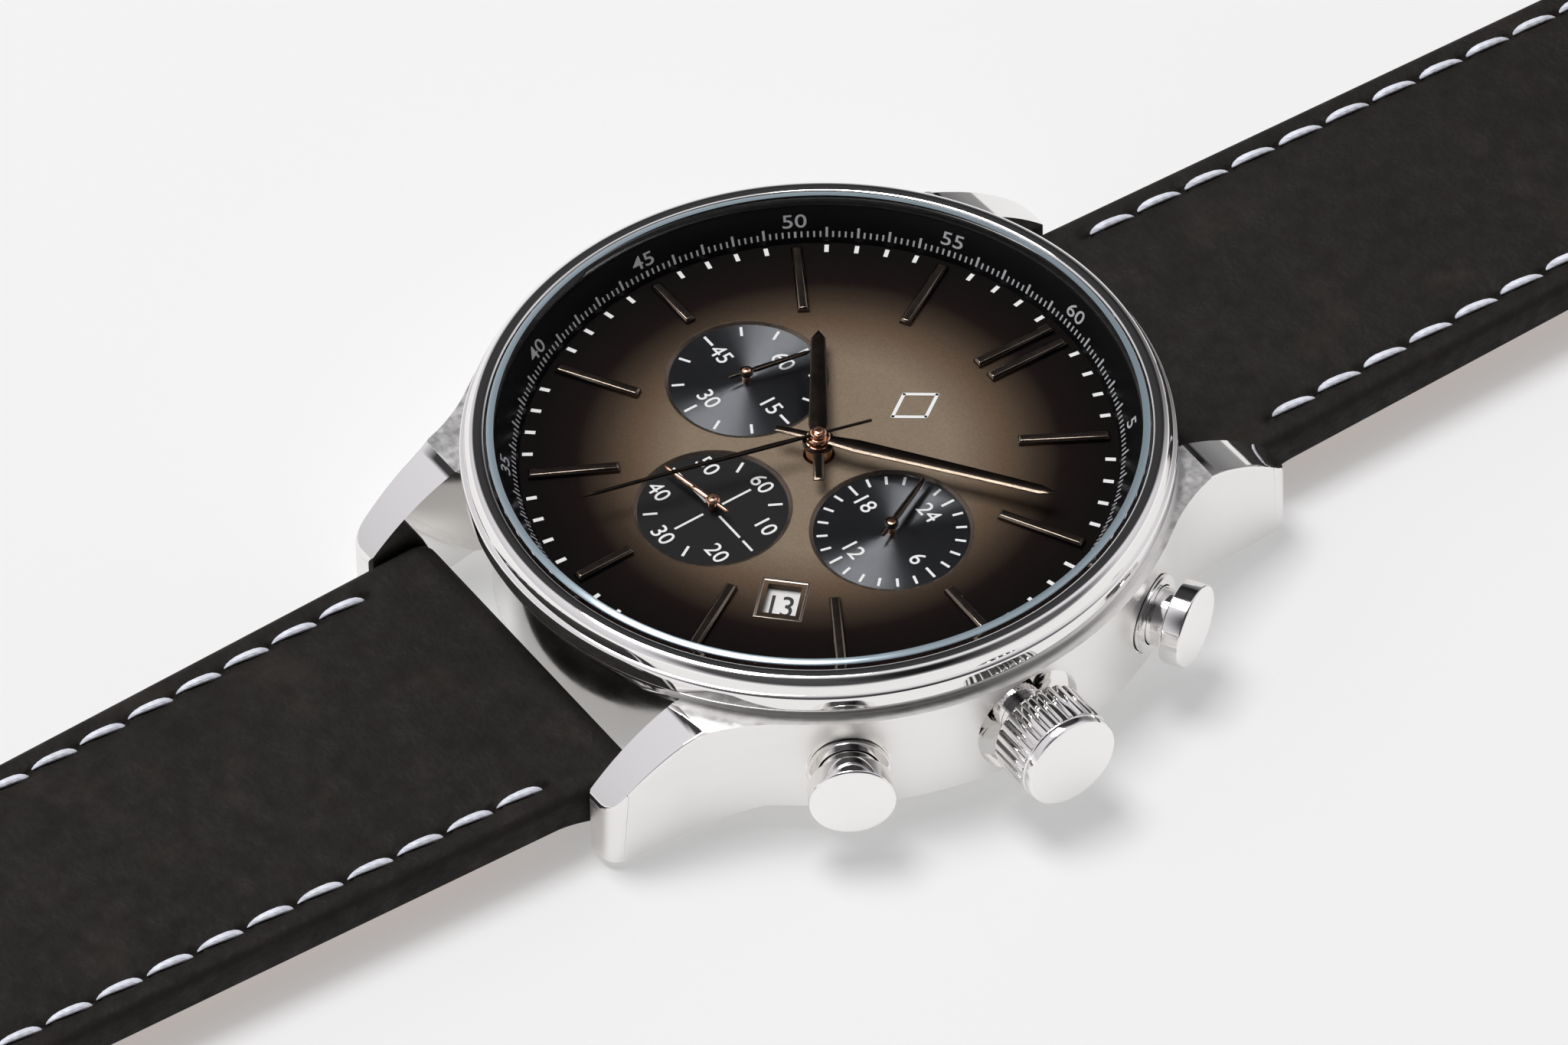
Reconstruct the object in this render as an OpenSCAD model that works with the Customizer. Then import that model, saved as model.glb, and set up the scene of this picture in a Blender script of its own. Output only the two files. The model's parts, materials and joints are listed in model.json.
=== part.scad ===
// Chronograph wristwatch, lying open and flat on its case back.
// Frame: origin at the centre of the case back's outer face, +Z through the dial, +Y to twelve
// o'clock, +X to three o'clock, where the crown is. Millimetres.

/* [Case] */
// Diameter of the middle case, without the crown
case_d = 42; // [38:0.1:51]
// Height of the middle case's top face, where the bezel sits
case_top_z = 8.6; // [8.2:0.1:10.4]
// Distance between the inner faces of a pair of lugs
lug_gap = 22.2; // [18:0.1:26.7]
// How far the lug tips stand out past the case's circle
lug_reach = 2.5; // [2.3:0.1:3]
// Height of the lug tips' upper edge
lug_tip_z = 4.8; // [4.4:0.1:5.8]
// Wall of the middle case round the movement
case_wall = 3.4; // [3.2:0.1:4]

/* [Glass and dial] */
// Height of the bezel above the middle case
bezel_h = 2.6; // [2.4:0.1:3.2]
// Thickness of the glass at its edge
glass_edge = 1.0; // [0.8:0.1:1.2]
// Rise of the domed glass above its edge
glass_dome = 1.1; // [0.4:0.1:1.4]
// Thickness of the dial
dial_t = 0.4; // [0.3:0.05:0.5]
// Distance of each small counter from the centre
counter_offset = 7.25; // [6.9:0.05:7.6]
// Radius of the two counters at nine and three o'clock
counter_r = 4.65; // [4:0.05:4.8]
// Width of the date window along its radius
date_w = 2.2; // [1.6:0.1:2.4]

/* [Crown and pushers] */
// Radius of the crown
crown_r = 3.0; // [2.4:0.05:3.1]
// Length of the crown's fluted body
crown_l = 3.6; // [3:0.1:4.4]
// Number of flutes round the crown
crown_flutes = 26; // [16:1:30]
// How far the crown pulls out
crown_pull = 1.2; // [0.8:0.1:1.4]
// Radius of the winding stem
stem_r = 0.6; // [0.5:0.02:0.72]
// Radius of a pusher's cap
pusher_cap_r = 2.5; // [2:0.05:3]
// Radius of a pusher's shaft
pusher_r = 1.75; // [1.45:0.05:2.1]
// How far a pusher travels
pusher_travel = 1.0; // [0.6:0.05:1]

/* [Strap] */
// Thickness of the strap
strap_t = 2.4; // [2:0.1:2.9]
// Width of the strap at the buckle
buckle_w = 18; // [15:0.5:20]
// Length of the buckle half, from spring bar to buckle pin
strap_12_l = 75; // [62:1:90]
// Length of the holed half, from spring bar to tip
strap_6_l = 118; // [98:1:142]
// Radius of the spring bars' tubes
bar_r = 0.9; // [0.75:0.01:1.1]
// Radius of the spring bars' tips
bar_tip_r = 0.4; // [0.33:0.01:0.48]
// Radius of the buckle's pin
buckle_pin_r = 0.75; // [0.6:0.01:0.9]
// Number of holes in the strap
strap_holes = 7; // [3:1:8]

/* [Hidden] */
$fn = 96;

// Clearances: a running fit, a seat within one body, and the air between moving faces
run = 0.05;
seat = 0.02;
air = 0.1;
eps = 0.01;

// Case
case_r = case_d / 2;
cavity_r = case_r - case_wall;
flank_z = 2.0;
belly_z = 1.2;
belly_r = cavity_r + 1.6;
back_r = belly_r - 0.3;
back_floor = 0.9;
neck_r = cavity_r + 1.3;
lug_in = lug_gap / 2;
lug_w = 2.35;
tip_y = case_r + lug_reach;
lug_root_x = lug_in + 5.3;
lug_root_y = sqrt(case_r * case_r - lug_root_x * lug_root_x);
lug_top_y = sqrt(case_r * case_r - lug_in * lug_in) - 0.3;
lug_foot_z = 0.6;
bar_y = case_r;
bar_z = 3.2;

// Spring bars
bar_half = lug_in - 0.35;
bar_socket = 2.25;
bar_wall = 0.25;
bar_head = 0.8;

// Bezel, glass, flange ring and dial
bezel_r = case_r - 0.5;
bezel_top = case_top_z + bezel_h;
glass_r = case_r - 2.05;
glass_z = bezel_top + 0.1 - glass_edge;
glass_bevel = 0.45;
gasket_t = 0.2;
flange_r = glass_r - 0.4;
flange_seat_r = cavity_r + 0.6;
dial_z = case_top_z - 1.1;
dial_r = cavity_r - 0.2;
dial_edge_r = case_r - 4;
marker_out_r = dial_edge_r - 0.5;
marker_w = 0.65;
marker_h = 0.45;
date_r = 11.4;
date_t = 1.94;
date_angle = -45;
small_counter_r = counter_r - 0.15;
counter_depth = 0.15;

// Movement
plate_r = 13.5;
plate_top = dial_z - 1.2;
plate_t = 2.0;
plate_z = plate_top - plate_t;
stem_z = plate_z + 0.7;
board_t = 0.25;
board_z = plate_z - 0.05 - board_t;
wheel_z = board_z - 0.45;
wheel_t = 0.2;
bridge_t = 0.6;
bridge_z = wheel_z - 0.35 - bridge_t;
arbor_r = 0.25;
battery_r = 4.75;
battery_at = [6.2, 5.2];
battery_gap = 0.15;
screws_at = [[-9.4, 1.4], [0.2, 3.2], [1.7, -9.4]];
screw_r = 0.3;
coils_at = [[-6.4, -6.4, 45], [-4.5, 7.2, 28], [7.9, -5.4, -52]];
ring_z = plate_top + 0.38;
ring_t = 0.22;
ring_in = 9.6;
motion_z = plate_top + 0.1;
motion_t = 0.18;
hour_pipe_r = 0.75;
cannon_r = 0.5;
relay_post_r = 0.3;

// Pitch radii: twelve to one from the cannon pinion to the hour wheel, through the minute wheel
// and its leaves, and two to one from there to the day wheel, through an idler
mesh_gap = 0.05;
cannon_leaf_r = 0.6;
relay_wheel_r = 1.9;
relay_arm = cannon_leaf_r + relay_wheel_r;
hour_pitch_r = relay_arm / (1 + relay_wheel_r / cannon_leaf_r / 12);
relay_leaf_r = relay_arm - hour_pitch_r;
relay_at = [-relay_arm * sin(45), relay_arm * cos(45)];
day_pitch_r = 2 * hour_pitch_r;
idler_r = 1.1;
idler_arm = hour_pitch_r + idler_r;
idler_x = (pow(idler_arm, 2) - pow(day_pitch_r + idler_r, 2) + pow(counter_offset, 2))
  / (2 * counter_offset);
idler_at = [idler_x, -sqrt(pow(idler_arm, 2) - pow(idler_x, 2))];

// Hands: angles are clockwise from twelve
hour_angle = 304.4;
minute_angle = 52.6;
chrono_angle = 195.5;
seconds_angle = 260;
chrono_minutes_angle = 10.7;
day_angle = 333;
counter_hand_z = dial_z + 0.75;
hour_hand_z = dial_z + 1.3;
minute_hand_z = dial_z + 1.8;
chrono_hand_z = dial_z + 2.25;
hand_t = 0.14;

// Crown and pushers, along a radius
tube_bore = stem_r + run;
crown_tube_r = stem_r + 0.9;
crown_base = case_r + 0.6;
crown_end = crown_base + crown_l;
crown_bore = crown_tube_r + 0.08;
crown_tube_end = crown_base + 1.2;
crown_seat = crown_r + 0.4;
crown_recess = case_r - 0.7;
rim_l = 0.6;
pinion_x = 10.0;
pinion_l = 1.2;
pinion_r = 0.85;
stem_end = 9.8;
pusher_angles = [30, -30];
pusher_cap_t = 1.3;
flange_end = case_r + 0.3;
pusher_cap_base = flange_end + pusher_travel + 0.1;
pusher_tube_r = pusher_r + 0.3;
pusher_flange_r = pusher_r + 0.6;
pusher_stem_r = 0.5;
shoulder_t = 0.4;
pusher_heel = case_r - 1.1;
clip_r = 1.0;
clip_t = 0.2;

// Strap: z is counted from the spring bar's axis
strap_w = lug_gap - 0.3;
loop_r = strap_t * 2 / 3;
leather_t = 1.0;
lining_t = 0.7;
taper_end = 75;
strap_top = loop_r;
strap_low = strap_top - strap_t;
layer_start = loop_r + 0.1;
stitch_pitch = 3.3;
stitch_l = 2.85;
stitch_w = 0.45;
stitch_h = 0.2;
stitch_inset = 1.75;
stitch_from = 7;
pin_dz = strap_top - strap_t / 2;
pin_loop_r = strap_t / 2;
tongue_w = 2.2;
tongue_slot = 3;
buckle_in = buckle_w / 2 + 0.35;
buckle_arm = 1.9;
buckle_reach = 11;
buckle_bar = 2.5;
buckle_h = 2.2;
tongue_t = 0.6;
keeper_w = 5;
keeper_t = 1.0;
keeper_room = 2.6;
fixed_keeper_d = strap_12_l - 13;
free_keeper_d = strap_12_l - 35;
hole_r = 0.95;
hole_pitch = 6.5;
hole_from_tip = 26;

function bez(a, b, c, n) =
  [for (i = [0:n]) let (t = i / n) (1 - t) * (1 - t) * a + 2 * t * (1 - t) * b + t * t * c];
function at_clock(r, angle) = [r * sin(angle), r * cos(angle)];
function half_width(d) = (strap_w - (strap_w - buckle_w) * min(max(d, 0) / taper_end, 1)) / 2;

// A round plate or ring between two heights
module disc(r, z0, z1) {
  translate([0, 0, z0]) cylinder(r = r, h = z1 - z0);
}

module ring(r_out, r_in, z0, z1) {
  difference() {
    disc(r_out, z0, z1);
    disc(r_in, z0 - 1, z1 + 1);
  }
}

// A cylinder along the radius at an angle, between two distances from the axis
module radial(angle, r, from, to, height = stem_z) {
  rotate([0, 0, angle]) translate([from, 0, height]) rotate([0, 90, 0])
    cylinder(r = r, h = to - from);
}

// A prism from an outline in Y and Z, through x0 to x1
module side_prism(points, x0, x1) {
  translate([x0, 0, 0]) rotate([90, 0, 90]) linear_extrude(x1 - x0) polygon(points);
}

// A screw-like coil of round wire from z = 0 to z = length
module coil(r, wire_r, turns, length) {
  steps = 12;
  sides = 6;
  rings = turns * steps;
  rise = (length - 2 * wire_r) / rings;
  points = [for (i = [0:rings], k = [0:sides - 1])
    let (a = 360 * i / steps, b = 360 * k / sides, q = r + wire_r * cos(b))
      [q * cos(a), q * sin(a), wire_r + rise * i + wire_r * sin(b)]];
  walls = [for (i = [0:rings - 1], k = [0:sides - 1])
    let (n = (k + 1) % sides)
      [i * sides + k, i * sides + n, (i + 1) * sides + n, (i + 1) * sides + k]];
  first = [for (k = [sides - 1:-1:0]) k];
  last = [for (k = [0:sides - 1]) rings * sides + k];
  polyhedron(points, concat(walls, [first], [last]));
}

// ---- Case ----

module lug_plan() {
  side = bez([lug_in + lug_w + 0.45, tip_y - 4.7], [lug_in + lug_w + 0.9, lug_root_y + 2.6],
             [lug_root_x, lug_root_y], 8);
  corner = bez([lug_in + lug_w - 1.1, tip_y], [lug_in + lug_w - 0.1, tip_y - 0.1],
               [lug_in + lug_w, tip_y - 1.2], 5);
  polygon(concat([[lug_in, lug_root_y - 3], [lug_in, tip_y - 0.2], [lug_in + 0.2, tip_y]],
                 corner, side, [[lug_in + 1, lug_root_y - 3]]));
}

module case_plan() {
  circle(r = case_r);
  for (sx = [0, 1], sy = [0, 1]) mirror([sx, 0]) mirror([0, sy]) lug_plan();
}

function lug_top() = bez([lug_top_y, case_top_z], [lug_top_y + 3.2, case_top_z - 1.0],
                         [tip_y, lug_tip_z], 10);
function lug_under() = bez([tip_y, lug_foot_z], [tip_y - 4, lug_foot_z], [tip_y - 9, flank_z], 8);
function side_half() = concat(lug_top(), lug_under());
function mirrored(points) = [for (i = [len(points) - 1:-1:0]) [-points[i][0], points[i][1]]];

// The hollow wall between a pair of lugs, as a band to cut away
module strap_gap() {
  gap_r = case_r + 4;
  neck_z = case_top_z - 2.2;
  intersection() {
    rotate_extrude() polygon(concat(
      bez([bezel_r - 0.1, case_top_z - 0.25], [neck_r + 0.1, case_top_z - 0.4], [neck_r, neck_z], 8),
      [[neck_r, -1], [gap_r, -1], [gap_r, case_top_z + 1], [bezel_r - 0.1, case_top_z + 1]]));
    translate([-lug_in, -gap_r, -1]) cube([lug_gap, 2 * gap_r, case_top_z + 3]);
  }
}

module case_middle() color("silver") {
  difference() {
    union() {
      intersection() {
        linear_extrude(case_top_z + 1) case_plan();
        side_prism(concat(side_half(), mirrored(side_half())), -case_r, case_r);
      }
      translate([0, 0, belly_z]) cylinder(r1 = belly_r, r2 = case_r - 0.1, h = flank_z - belly_z + eps);
    }
    strap_gap();
    disc(belly_r, 0, belly_z);
    disc(cavity_r, 0, case_top_z + 1);
    disc(flange_seat_r, dial_z, case_top_z + 1);
    radial(0, crown_tube_r + seat, cavity_r - 2, case_r + 2);
    radial(0, crown_seat, crown_recess, case_r + 5);
    for (a = pusher_angles) {
      radial(a, pusher_tube_r + seat, cavity_r - 2, case_r + 2);
      radial(a, pusher_flange_r + air, case_r - 0.3, case_r + 2);
    }
    for (sy = [-1, 1]) translate([-lug_in - 1.2, sy * bar_y, bar_z]) rotate([0, 90, 0])
      cylinder(r = bar_tip_r + run, h = lug_gap + 2.4);
  }
}

module bezel() color("silver") rotate_extrude() polygon(concat(
  [[flange_r + 0.05, case_top_z], [bezel_r - 0.3, case_top_z], [bezel_r - 0.25, case_top_z + 0.3],
   [bezel_r, case_top_z + 0.5], [bezel_r, case_top_z + 1.5], [bezel_r - 0.12, case_top_z + 1.65]],
  bez([bezel_r - 0.3, case_top_z + 1.7], [bezel_r - 0.45, bezel_top], [bezel_r - 1.1, bezel_top], 8),
  [[glass_r + 0.12, bezel_top - 0.05], [glass_r + 0.12, glass_z - gasket_t],
   [flange_r + 0.05, glass_z - gasket_t]]));

function dome_r() = (pow(glass_r - glass_bevel, 2) + pow(glass_dome, 2)) / (2 * glass_dome);
module crystal() color("lightblue", 0.3) rotate_extrude() polygon(concat(
  [[0, glass_z], [glass_r, glass_z], [glass_r, glass_z + glass_edge - 0.1]],
  [for (i = [20:-1:0]) let (x = (glass_r - glass_bevel) * i / 20)
    [x, glass_z + glass_edge + 0.1 + glass_dome - dome_r() + sqrt(pow(dome_r(), 2) - x * x)]]));

module crystal_gasket() color("black") ring(glass_r, flange_r - 0.1, glass_z - gasket_t, glass_z);

module flange_ring() color("black") rotate_extrude() polygon(
  [[dial_edge_r, dial_z], [flange_seat_r - 0.1, dial_z], [flange_seat_r - 0.1, case_top_z],
   [flange_r, case_top_z], [flange_r, glass_z - gasket_t], [flange_r - 0.15, glass_z - gasket_t],
   [dial_edge_r, dial_z + 0.2]]);

// ---- Dial ----

module at_counter(angle) {
  at = at_clock(counter_offset, angle);
  translate([at[0], at[1], 0]) children();
}

module dial() color([0.2, 0.17, 0.15]) difference() {
  disc(dial_r, dial_z - dial_t, dial_z);
  disc(hour_pipe_r + 0.15, 0, dial_z + 1);
  for (angle = [90, 180, 270]) {
    at_counter(angle) disc(arbor_r + 0.1, 0, dial_z + 1);
    at_counter(angle) disc(angle == 180 ? small_counter_r : counter_r, dial_z - counter_depth, dial_z + 1);
  }
  rotate([0, 0, date_angle]) translate([date_r - date_w / 2, -date_t / 2, 0])
    cube([date_w, date_t, dial_z + 1]);
}

module marker(angle, length, shift = 0) {
  section = [[-marker_w / 2, 0], [marker_w / 2, 0], [marker_w / 2, marker_h * 0.6], [0, marker_h],
             [-marker_w / 2, marker_h * 0.6]];
  rotate([0, 0, -angle]) translate([shift, marker_out_r, dial_z]) rotate([90, 0, 0])
    linear_extrude(length) polygon(section);
}

module hour_markers() color([0.25, 0.2, 0.16]) {
  for (h = [1, 2, 4, 5, 7, 8, 10, 11]) marker(h * 30, 5.2);
  for (h = [3, 6, 9]) marker(h * 30, 3.65);
  for (s = [-1, 1]) marker(0, 5.2, s * marker_w);
}

// ---- Movement ----

module movement_holder() color("whitesmoke") difference() {
  ring(cavity_r - 0.1, plate_r + 0.1, belly_z + 1.3, dial_z - dial_t);
  radial(0, stem_r + 0.4, plate_r - 1, cavity_r + 1);
  for (a = pusher_angles) radial(a, clip_r + 0.3, cavity_r - 1.9, cavity_r + 1);
}

module main_plate() color("goldenrod") difference() {
  disc(plate_r, plate_z, plate_top);
  disc(cannon_leaf_r + 0.15, plate_z - 1, plate_top + 1);
  for (angle = [180, 270]) at_counter(angle) disc(arbor_r + run, plate_z - 1, plate_top + 1);
  at_counter(90) disc(arbor_r + run, plate_top - 1, plate_top + 1);
  translate([relay_at[0], relay_at[1], 0]) disc(relay_wheel_r + 0.1, plate_top - 0.45, plate_top + 1);
  for (at = [relay_at, idler_at])
    translate([at[0], at[1], 0]) disc(relay_post_r + run, plate_top - 1.2, plate_top + 1);
  translate([battery_at[0], battery_at[1], 0]) disc(battery_r + battery_gap, plate_z - 1, plate_z + 0.3);
  radial(0, stem_r + run, stem_end - 0.3, plate_r + 1);
  radial(0, pinion_r + air, pinion_x - air, pinion_x + pinion_l + air);
  for (at = screws_at) translate([at[0], at[1], 0]) disc(screw_r + seat, plate_z - 1, plate_z + 1);
}

module circuit_board() color("darkgreen") difference() {
  disc(plate_r - 0.2, board_z, board_z + board_t);
  disc(cannon_leaf_r + 0.5, 0, plate_z);
  for (angle = [180, 270]) at_counter(angle) disc(arbor_r + 0.2, 0, plate_z);
  translate([battery_at[0], battery_at[1], 0]) disc(battery_r + battery_gap, 0, plate_z);
  translate([pinion_x - 0.2, -1, 0]) cube([plate_r, 2, plate_z]);
  for (at = screws_at) translate([at[0], at[1], 0]) disc(screw_r + 0.1, 0, plate_z);
}

module battery() color("silver") translate([battery_at[0], battery_at[1], 0]) {
  disc(battery_r, bridge_z, plate_z - 0.1);
  disc(battery_r - 0.8, plate_z - 0.1 - eps, plate_z + 0.2);
}

module battery_clamp() color("gainsboro") translate([battery_at[0], battery_at[1], 0]) {
  arm = 2 * battery_r - 1;
  translate([-arm / 2, -1, bridge_z - 0.3]) cube([arm, 2, 0.28]);
}

module motor_coils() color("orangered") for (c = coils_at)
  translate([c[0], c[1], board_z - 0.75]) rotate([0, 0, -c[2]]) {
    translate([-2.6, 0, 0]) rotate([0, 90, 0]) cylinder(r = 0.65, h = 5.2);
  }

module motor_stators() color("dimgray") for (c = coils_at)
  translate([c[0], c[1], board_z - 0.9]) rotate([0, 0, -c[2]]) difference() {
    translate([-3.6, 0.8, 0]) cube([7.2, 2, 0.4]);
    translate([0, 1.8, -1]) cylinder(r = 0.7, h = 3);
  }

module train_bridge() color("goldenrod") difference() {
  translate([0, 0, bridge_z]) linear_extrude(bridge_t) polygon(
    [[-10.3, -1.2], [-10.3, 2.2], [-1, 4], [3.6, 4], [3.6, 0], [2.7, -3], [2.7, -10.3],
     [-1.8, -10.3], [-1.8, -3], [-3, -1.2]]);
  disc(arbor_r + run, 0, plate_z);
  for (angle = [180, 270]) at_counter(angle) disc(arbor_r + run, 0, plate_z);
  for (at = screws_at) translate([at[0], at[1], 0]) disc(screw_r + seat, 0, plate_z);
  translate([battery_at[0], battery_at[1], 0]) disc(battery_r + battery_gap, 0, plate_z);
}

module bridge_screws() color("lightsteelblue") for (at = screws_at) translate([at[0], at[1], 0])
  difference() {
    union() {
      disc(screw_r, bridge_z - eps, plate_z + 0.8);
      disc(2 * screw_r, bridge_z - 0.25, bridge_z);
    }
    translate([-1, -0.07, bridge_z - 0.4]) cube([2, 0.14, 0.25]);
  }

// ---- Case back ----

module case_back() color("silver") difference() {
  union() {
    disc(back_r - 0.4, 0, belly_z);
    disc(back_r, 0.4, belly_z);
    disc(cavity_r - seat, belly_z - eps, belly_z + 1.2);
  }
  disc(cavity_r - 1.2, back_floor, belly_z + 2);
  ring(cavity_r + 1, cavity_r - 0.6, belly_z + 0.35, belly_z + 0.85);
  for (a = [0:60:300]) rotate([0, 0, a]) translate([back_r - 1.4, -0.8, -1]) cube([3, 1.6, 1.35]);
}

module case_back_gasket() color("black")
  ring(cavity_r - seat, cavity_r - 0.6, belly_z + 0.35, belly_z + 0.85);

// ---- Spring bars ----

module spring_bar(sy) color("gainsboro") translate([0, sy * bar_y, bar_z]) rotate([0, 90, 0])
  difference() {
    translate([0, 0, -bar_half]) cylinder(r = bar_r, h = 2 * bar_half);
    for (s = [-1, 1]) translate([0, 0, s * bar_half])
      cylinder(r = bar_r - bar_wall, h = 2 * bar_socket, center = true);
  }

module spring_bar_12() spring_bar(1);
module spring_bar_6() spring_bar(-1);

module bar_tip(sx, sy) color("gainsboro") translate([0, sy * bar_y, bar_z]) rotate([0, sx * 90, 0]) {
  translate([0, 0, bar_half - bar_head]) cylinder(r = bar_r - bar_wall - run, h = bar_head + air);
  translate([0, 0, bar_half]) cylinder(r = bar_tip_r, h = lug_in - bar_half + 0.9);
}

module spring_bar_tip_12_left() bar_tip(-1, 1);
module spring_bar_tip_12_right() bar_tip(1, 1);
module spring_bar_tip_6_left() bar_tip(-1, -1);
module spring_bar_tip_6_right() bar_tip(1, -1);

// ---- Date, hands and motion work ----

module date_ring() color("white") ring(plate_r - 0.2, ring_in, ring_z, ring_z + ring_t);

// A pointed hand, flat, with a square tail, from its axis towards twelve
module hand_blade(length, tail, width, z) {
  translate([0, 0, z]) linear_extrude(hand_t) polygon(
    [[-width * 0.35, -tail], [width * 0.35, -tail], [width * 0.35, 0], [width / 2, length * 0.25],
     [width * 0.4, length * 0.9], [0, length], [-width * 0.4, length * 0.9], [-width / 2, length * 0.25],
     [-width * 0.35, 0]]);
}

// A hand and its hub, pressed on an arbor or a pipe of radius bore
module hand(angle, length, tail, width, z, hub_r, bore) {
  rotate([0, 0, -angle]) difference() {
    union() {
      hand_blade(length, tail, width, z);
      disc(hub_r, z - 0.1, z + hand_t + 0.1);
    }
    disc(bore, z - 1, z + 1);
  }
}

module hour_hand() color([0.2, 0.15, 0.13])
  hand(hour_angle, 8.9, 3, 1.15, hour_hand_z, 1.0, hour_pipe_r + seat);
module minute_hand() color([0.2, 0.15, 0.13])
  hand(minute_angle, 14.2, 2.6, 1.05, minute_hand_z, 0.75, cannon_r + seat);
module chrono_seconds_hand() color([0.2, 0.15, 0.13])
  hand(chrono_angle, 14.3, 3.2, 0.45, chrono_hand_z, 0.55, arbor_r + seat);

module hour_wheel() color("goldenrod") difference() {
  union() {
    disc(hour_pitch_r - mesh_gap / 2, motion_z, motion_z + motion_t);
    disc(hour_pipe_r, motion_z, hour_hand_z + hand_t + 0.1);
  }
  disc(cannon_r + run, 0, dial_z + 4);
}

module cannon_pinion() color("goldenrod") difference() {
  union() {
    disc(cannon_leaf_r - mesh_gap / 2, plate_top - 0.4, plate_top);
    disc(cannon_r, plate_z + 0.2, minute_hand_z + hand_t + 0.12);
  }
  disc(arbor_r + run, 0, dial_z + 4);
}

module minute_wheel() color("goldenrod") translate([relay_at[0], relay_at[1], 0]) {
  disc(relay_wheel_r - mesh_gap / 2, plate_top - 0.35, plate_top - 0.05);
  disc(relay_post_r, plate_top - 1.1, motion_z);
  disc(relay_leaf_r - mesh_gap / 2, motion_z - eps, motion_z + motion_t);
}

module day_idler() color("goldenrod") translate([idler_at[0], idler_at[1], 0]) {
  disc(idler_r - mesh_gap / 2, motion_z, motion_z + motion_t);
  disc(relay_post_r, plate_top - 1.1, motion_z + eps);
}

module wheel_24h() color("goldenrod") at_counter(90) {
  disc(day_pitch_r - mesh_gap / 2, motion_z, motion_z + motion_t);
  disc(arbor_r, plate_top - 0.9, counter_hand_z + 0.25);
}

module hand_24h() color([0.2, 0.15, 0.13]) at_counter(90)
  hand(day_angle, 4.1, 1.1, 0.42, counter_hand_z, 0.45, arbor_r + seat);

// The arbor and wheel of a counter hand that a stepping motor drives
module counter_arbor(wheel_r) {
  disc(arbor_r, bridge_z + 0.05, counter_hand_z + hand_t + 0.1);
  disc(wheel_r, wheel_z, wheel_z + wheel_t);
}

module small_seconds_hand() color([0.72, 0.5, 0.35]) at_counter(180) {
  hand(seconds_angle, 3.94, 1.2, 0.36, counter_hand_z, 0.45, arbor_r);
  counter_arbor(2.0);
}

module chrono_minutes_hand() color([0.2, 0.15, 0.13]) at_counter(270) {
  hand(chrono_minutes_angle, 4.0, 1.1, 0.42, counter_hand_z, 0.45, arbor_r);
  counter_arbor(2.1);
}

module chrono_seconds_arbor() color([0.72, 0.5, 0.4]) {
  disc(arbor_r, bridge_z + 0.05, chrono_hand_z + hand_t + 0.25);
  disc(2.5, wheel_z, wheel_z + wheel_t);
}

// ---- Crown ----

module setting_pinion() color("goldenrod") difference() {
  radial(0, pinion_r, pinion_x, pinion_x + pinion_l);
  radial(0, stem_r + run, pinion_x - 1, pinion_x + pinion_l + 1);
}

module crown_tube() color("silver") difference() {
  radial(0, crown_tube_r, cavity_r, crown_tube_end);
  radial(0, tube_bore, cavity_r - 1, crown_tube_end + 1);
}

module crown() color("silver") difference() {
  union() {
    radial(0, crown_r, crown_base, crown_end - rim_l);
    radial(0, crown_r - 0.08, crown_end - 2 * rim_l, crown_end - 0.15);
    radial(0, crown_r - 0.25, crown_end - 2 * rim_l, crown_end);
  }
  radial(0, crown_bore, crown_base - 1, crown_base + 1.6);
  radial(0, crown_tube_r + 0.5, crown_base + 0.4, crown_base + 0.9);
  radial(0, stem_r + seat, crown_base, crown_base + 2.6);
  for (i = [0:crown_flutes - 1]) translate([0, 0, stem_z]) rotate([i * 360 / crown_flutes, 0, 0])
    translate([crown_base - 1, 0, crown_r + 0.06]) rotate([0, 90, 0])
      cylinder(r = 0.24, h = crown_l + 0.9 - rim_l, $fn = 16);
}

module winding_stem() color("silver") radial(0, stem_r, stem_end, crown_base + 2.6);

module crown_gasket() color("black") difference() {
  radial(0, crown_tube_r + 0.5, crown_base + 0.4, crown_base + 0.9);
  radial(0, crown_tube_r + 0.03, crown_base, crown_base + 2);
}

// ---- Pushers ----

module pusher_tubes() color("silver") for (a = pusher_angles) difference() {
  union() {
    radial(a, pusher_tube_r, cavity_r, flange_end);
    radial(a, pusher_flange_r, case_r - 0.3, flange_end);
  }
  radial(a, pusher_r + run, cavity_r + shoulder_t, case_r + 2);
  radial(a, pusher_stem_r + run, cavity_r - 1, case_r);
}

module pusher(angle) color("silver") {
  radial(angle, pusher_r, pusher_heel, pusher_cap_base + eps);
  radial(angle, pusher_cap_r, pusher_cap_base, pusher_cap_base + pusher_cap_t - 0.12);
  radial(angle, pusher_cap_r - 0.12, pusher_cap_base, pusher_cap_base + pusher_cap_t);
  radial(angle, pusher_stem_r, cavity_r - 0.8, pusher_heel + eps);
}

module start_pusher() pusher(pusher_angles[0]);
module reset_pusher() pusher(pusher_angles[1]);

module pusher_clip(angle) color("dimgray") difference() {
  radial(angle, clip_r, cavity_r - air - clip_t, cavity_r - air);
  radial(angle, pusher_stem_r + seat, cavity_r - 2, cavity_r + 1);
}

module start_pusher_clip() pusher_clip(pusher_angles[0]);
module reset_pusher_clip() pusher_clip(pusher_angles[1]);

module pusher_spring(angle) color("lightgray")
  rotate([0, 0, angle]) translate([cavity_r + shoulder_t + 0.02, 0, stem_z]) rotate([0, 90, 0])
    coil(pusher_r - 0.45, 0.12, 3, pusher_heel - cavity_r - shoulder_t - 0.04);

module start_pusher_spring() pusher_spring(pusher_angles[0]);
module reset_pusher_spring() pusher_spring(pusher_angles[1]);

// ---- Strap ----

// Each half is drawn with its spring bar at the origin and its length along +Y
module strap_place(side) {
  translate([0, side * bar_y, bar_z]) mirror([0, side < 0 ? 1 : 0, 0]) children();
}

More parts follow.
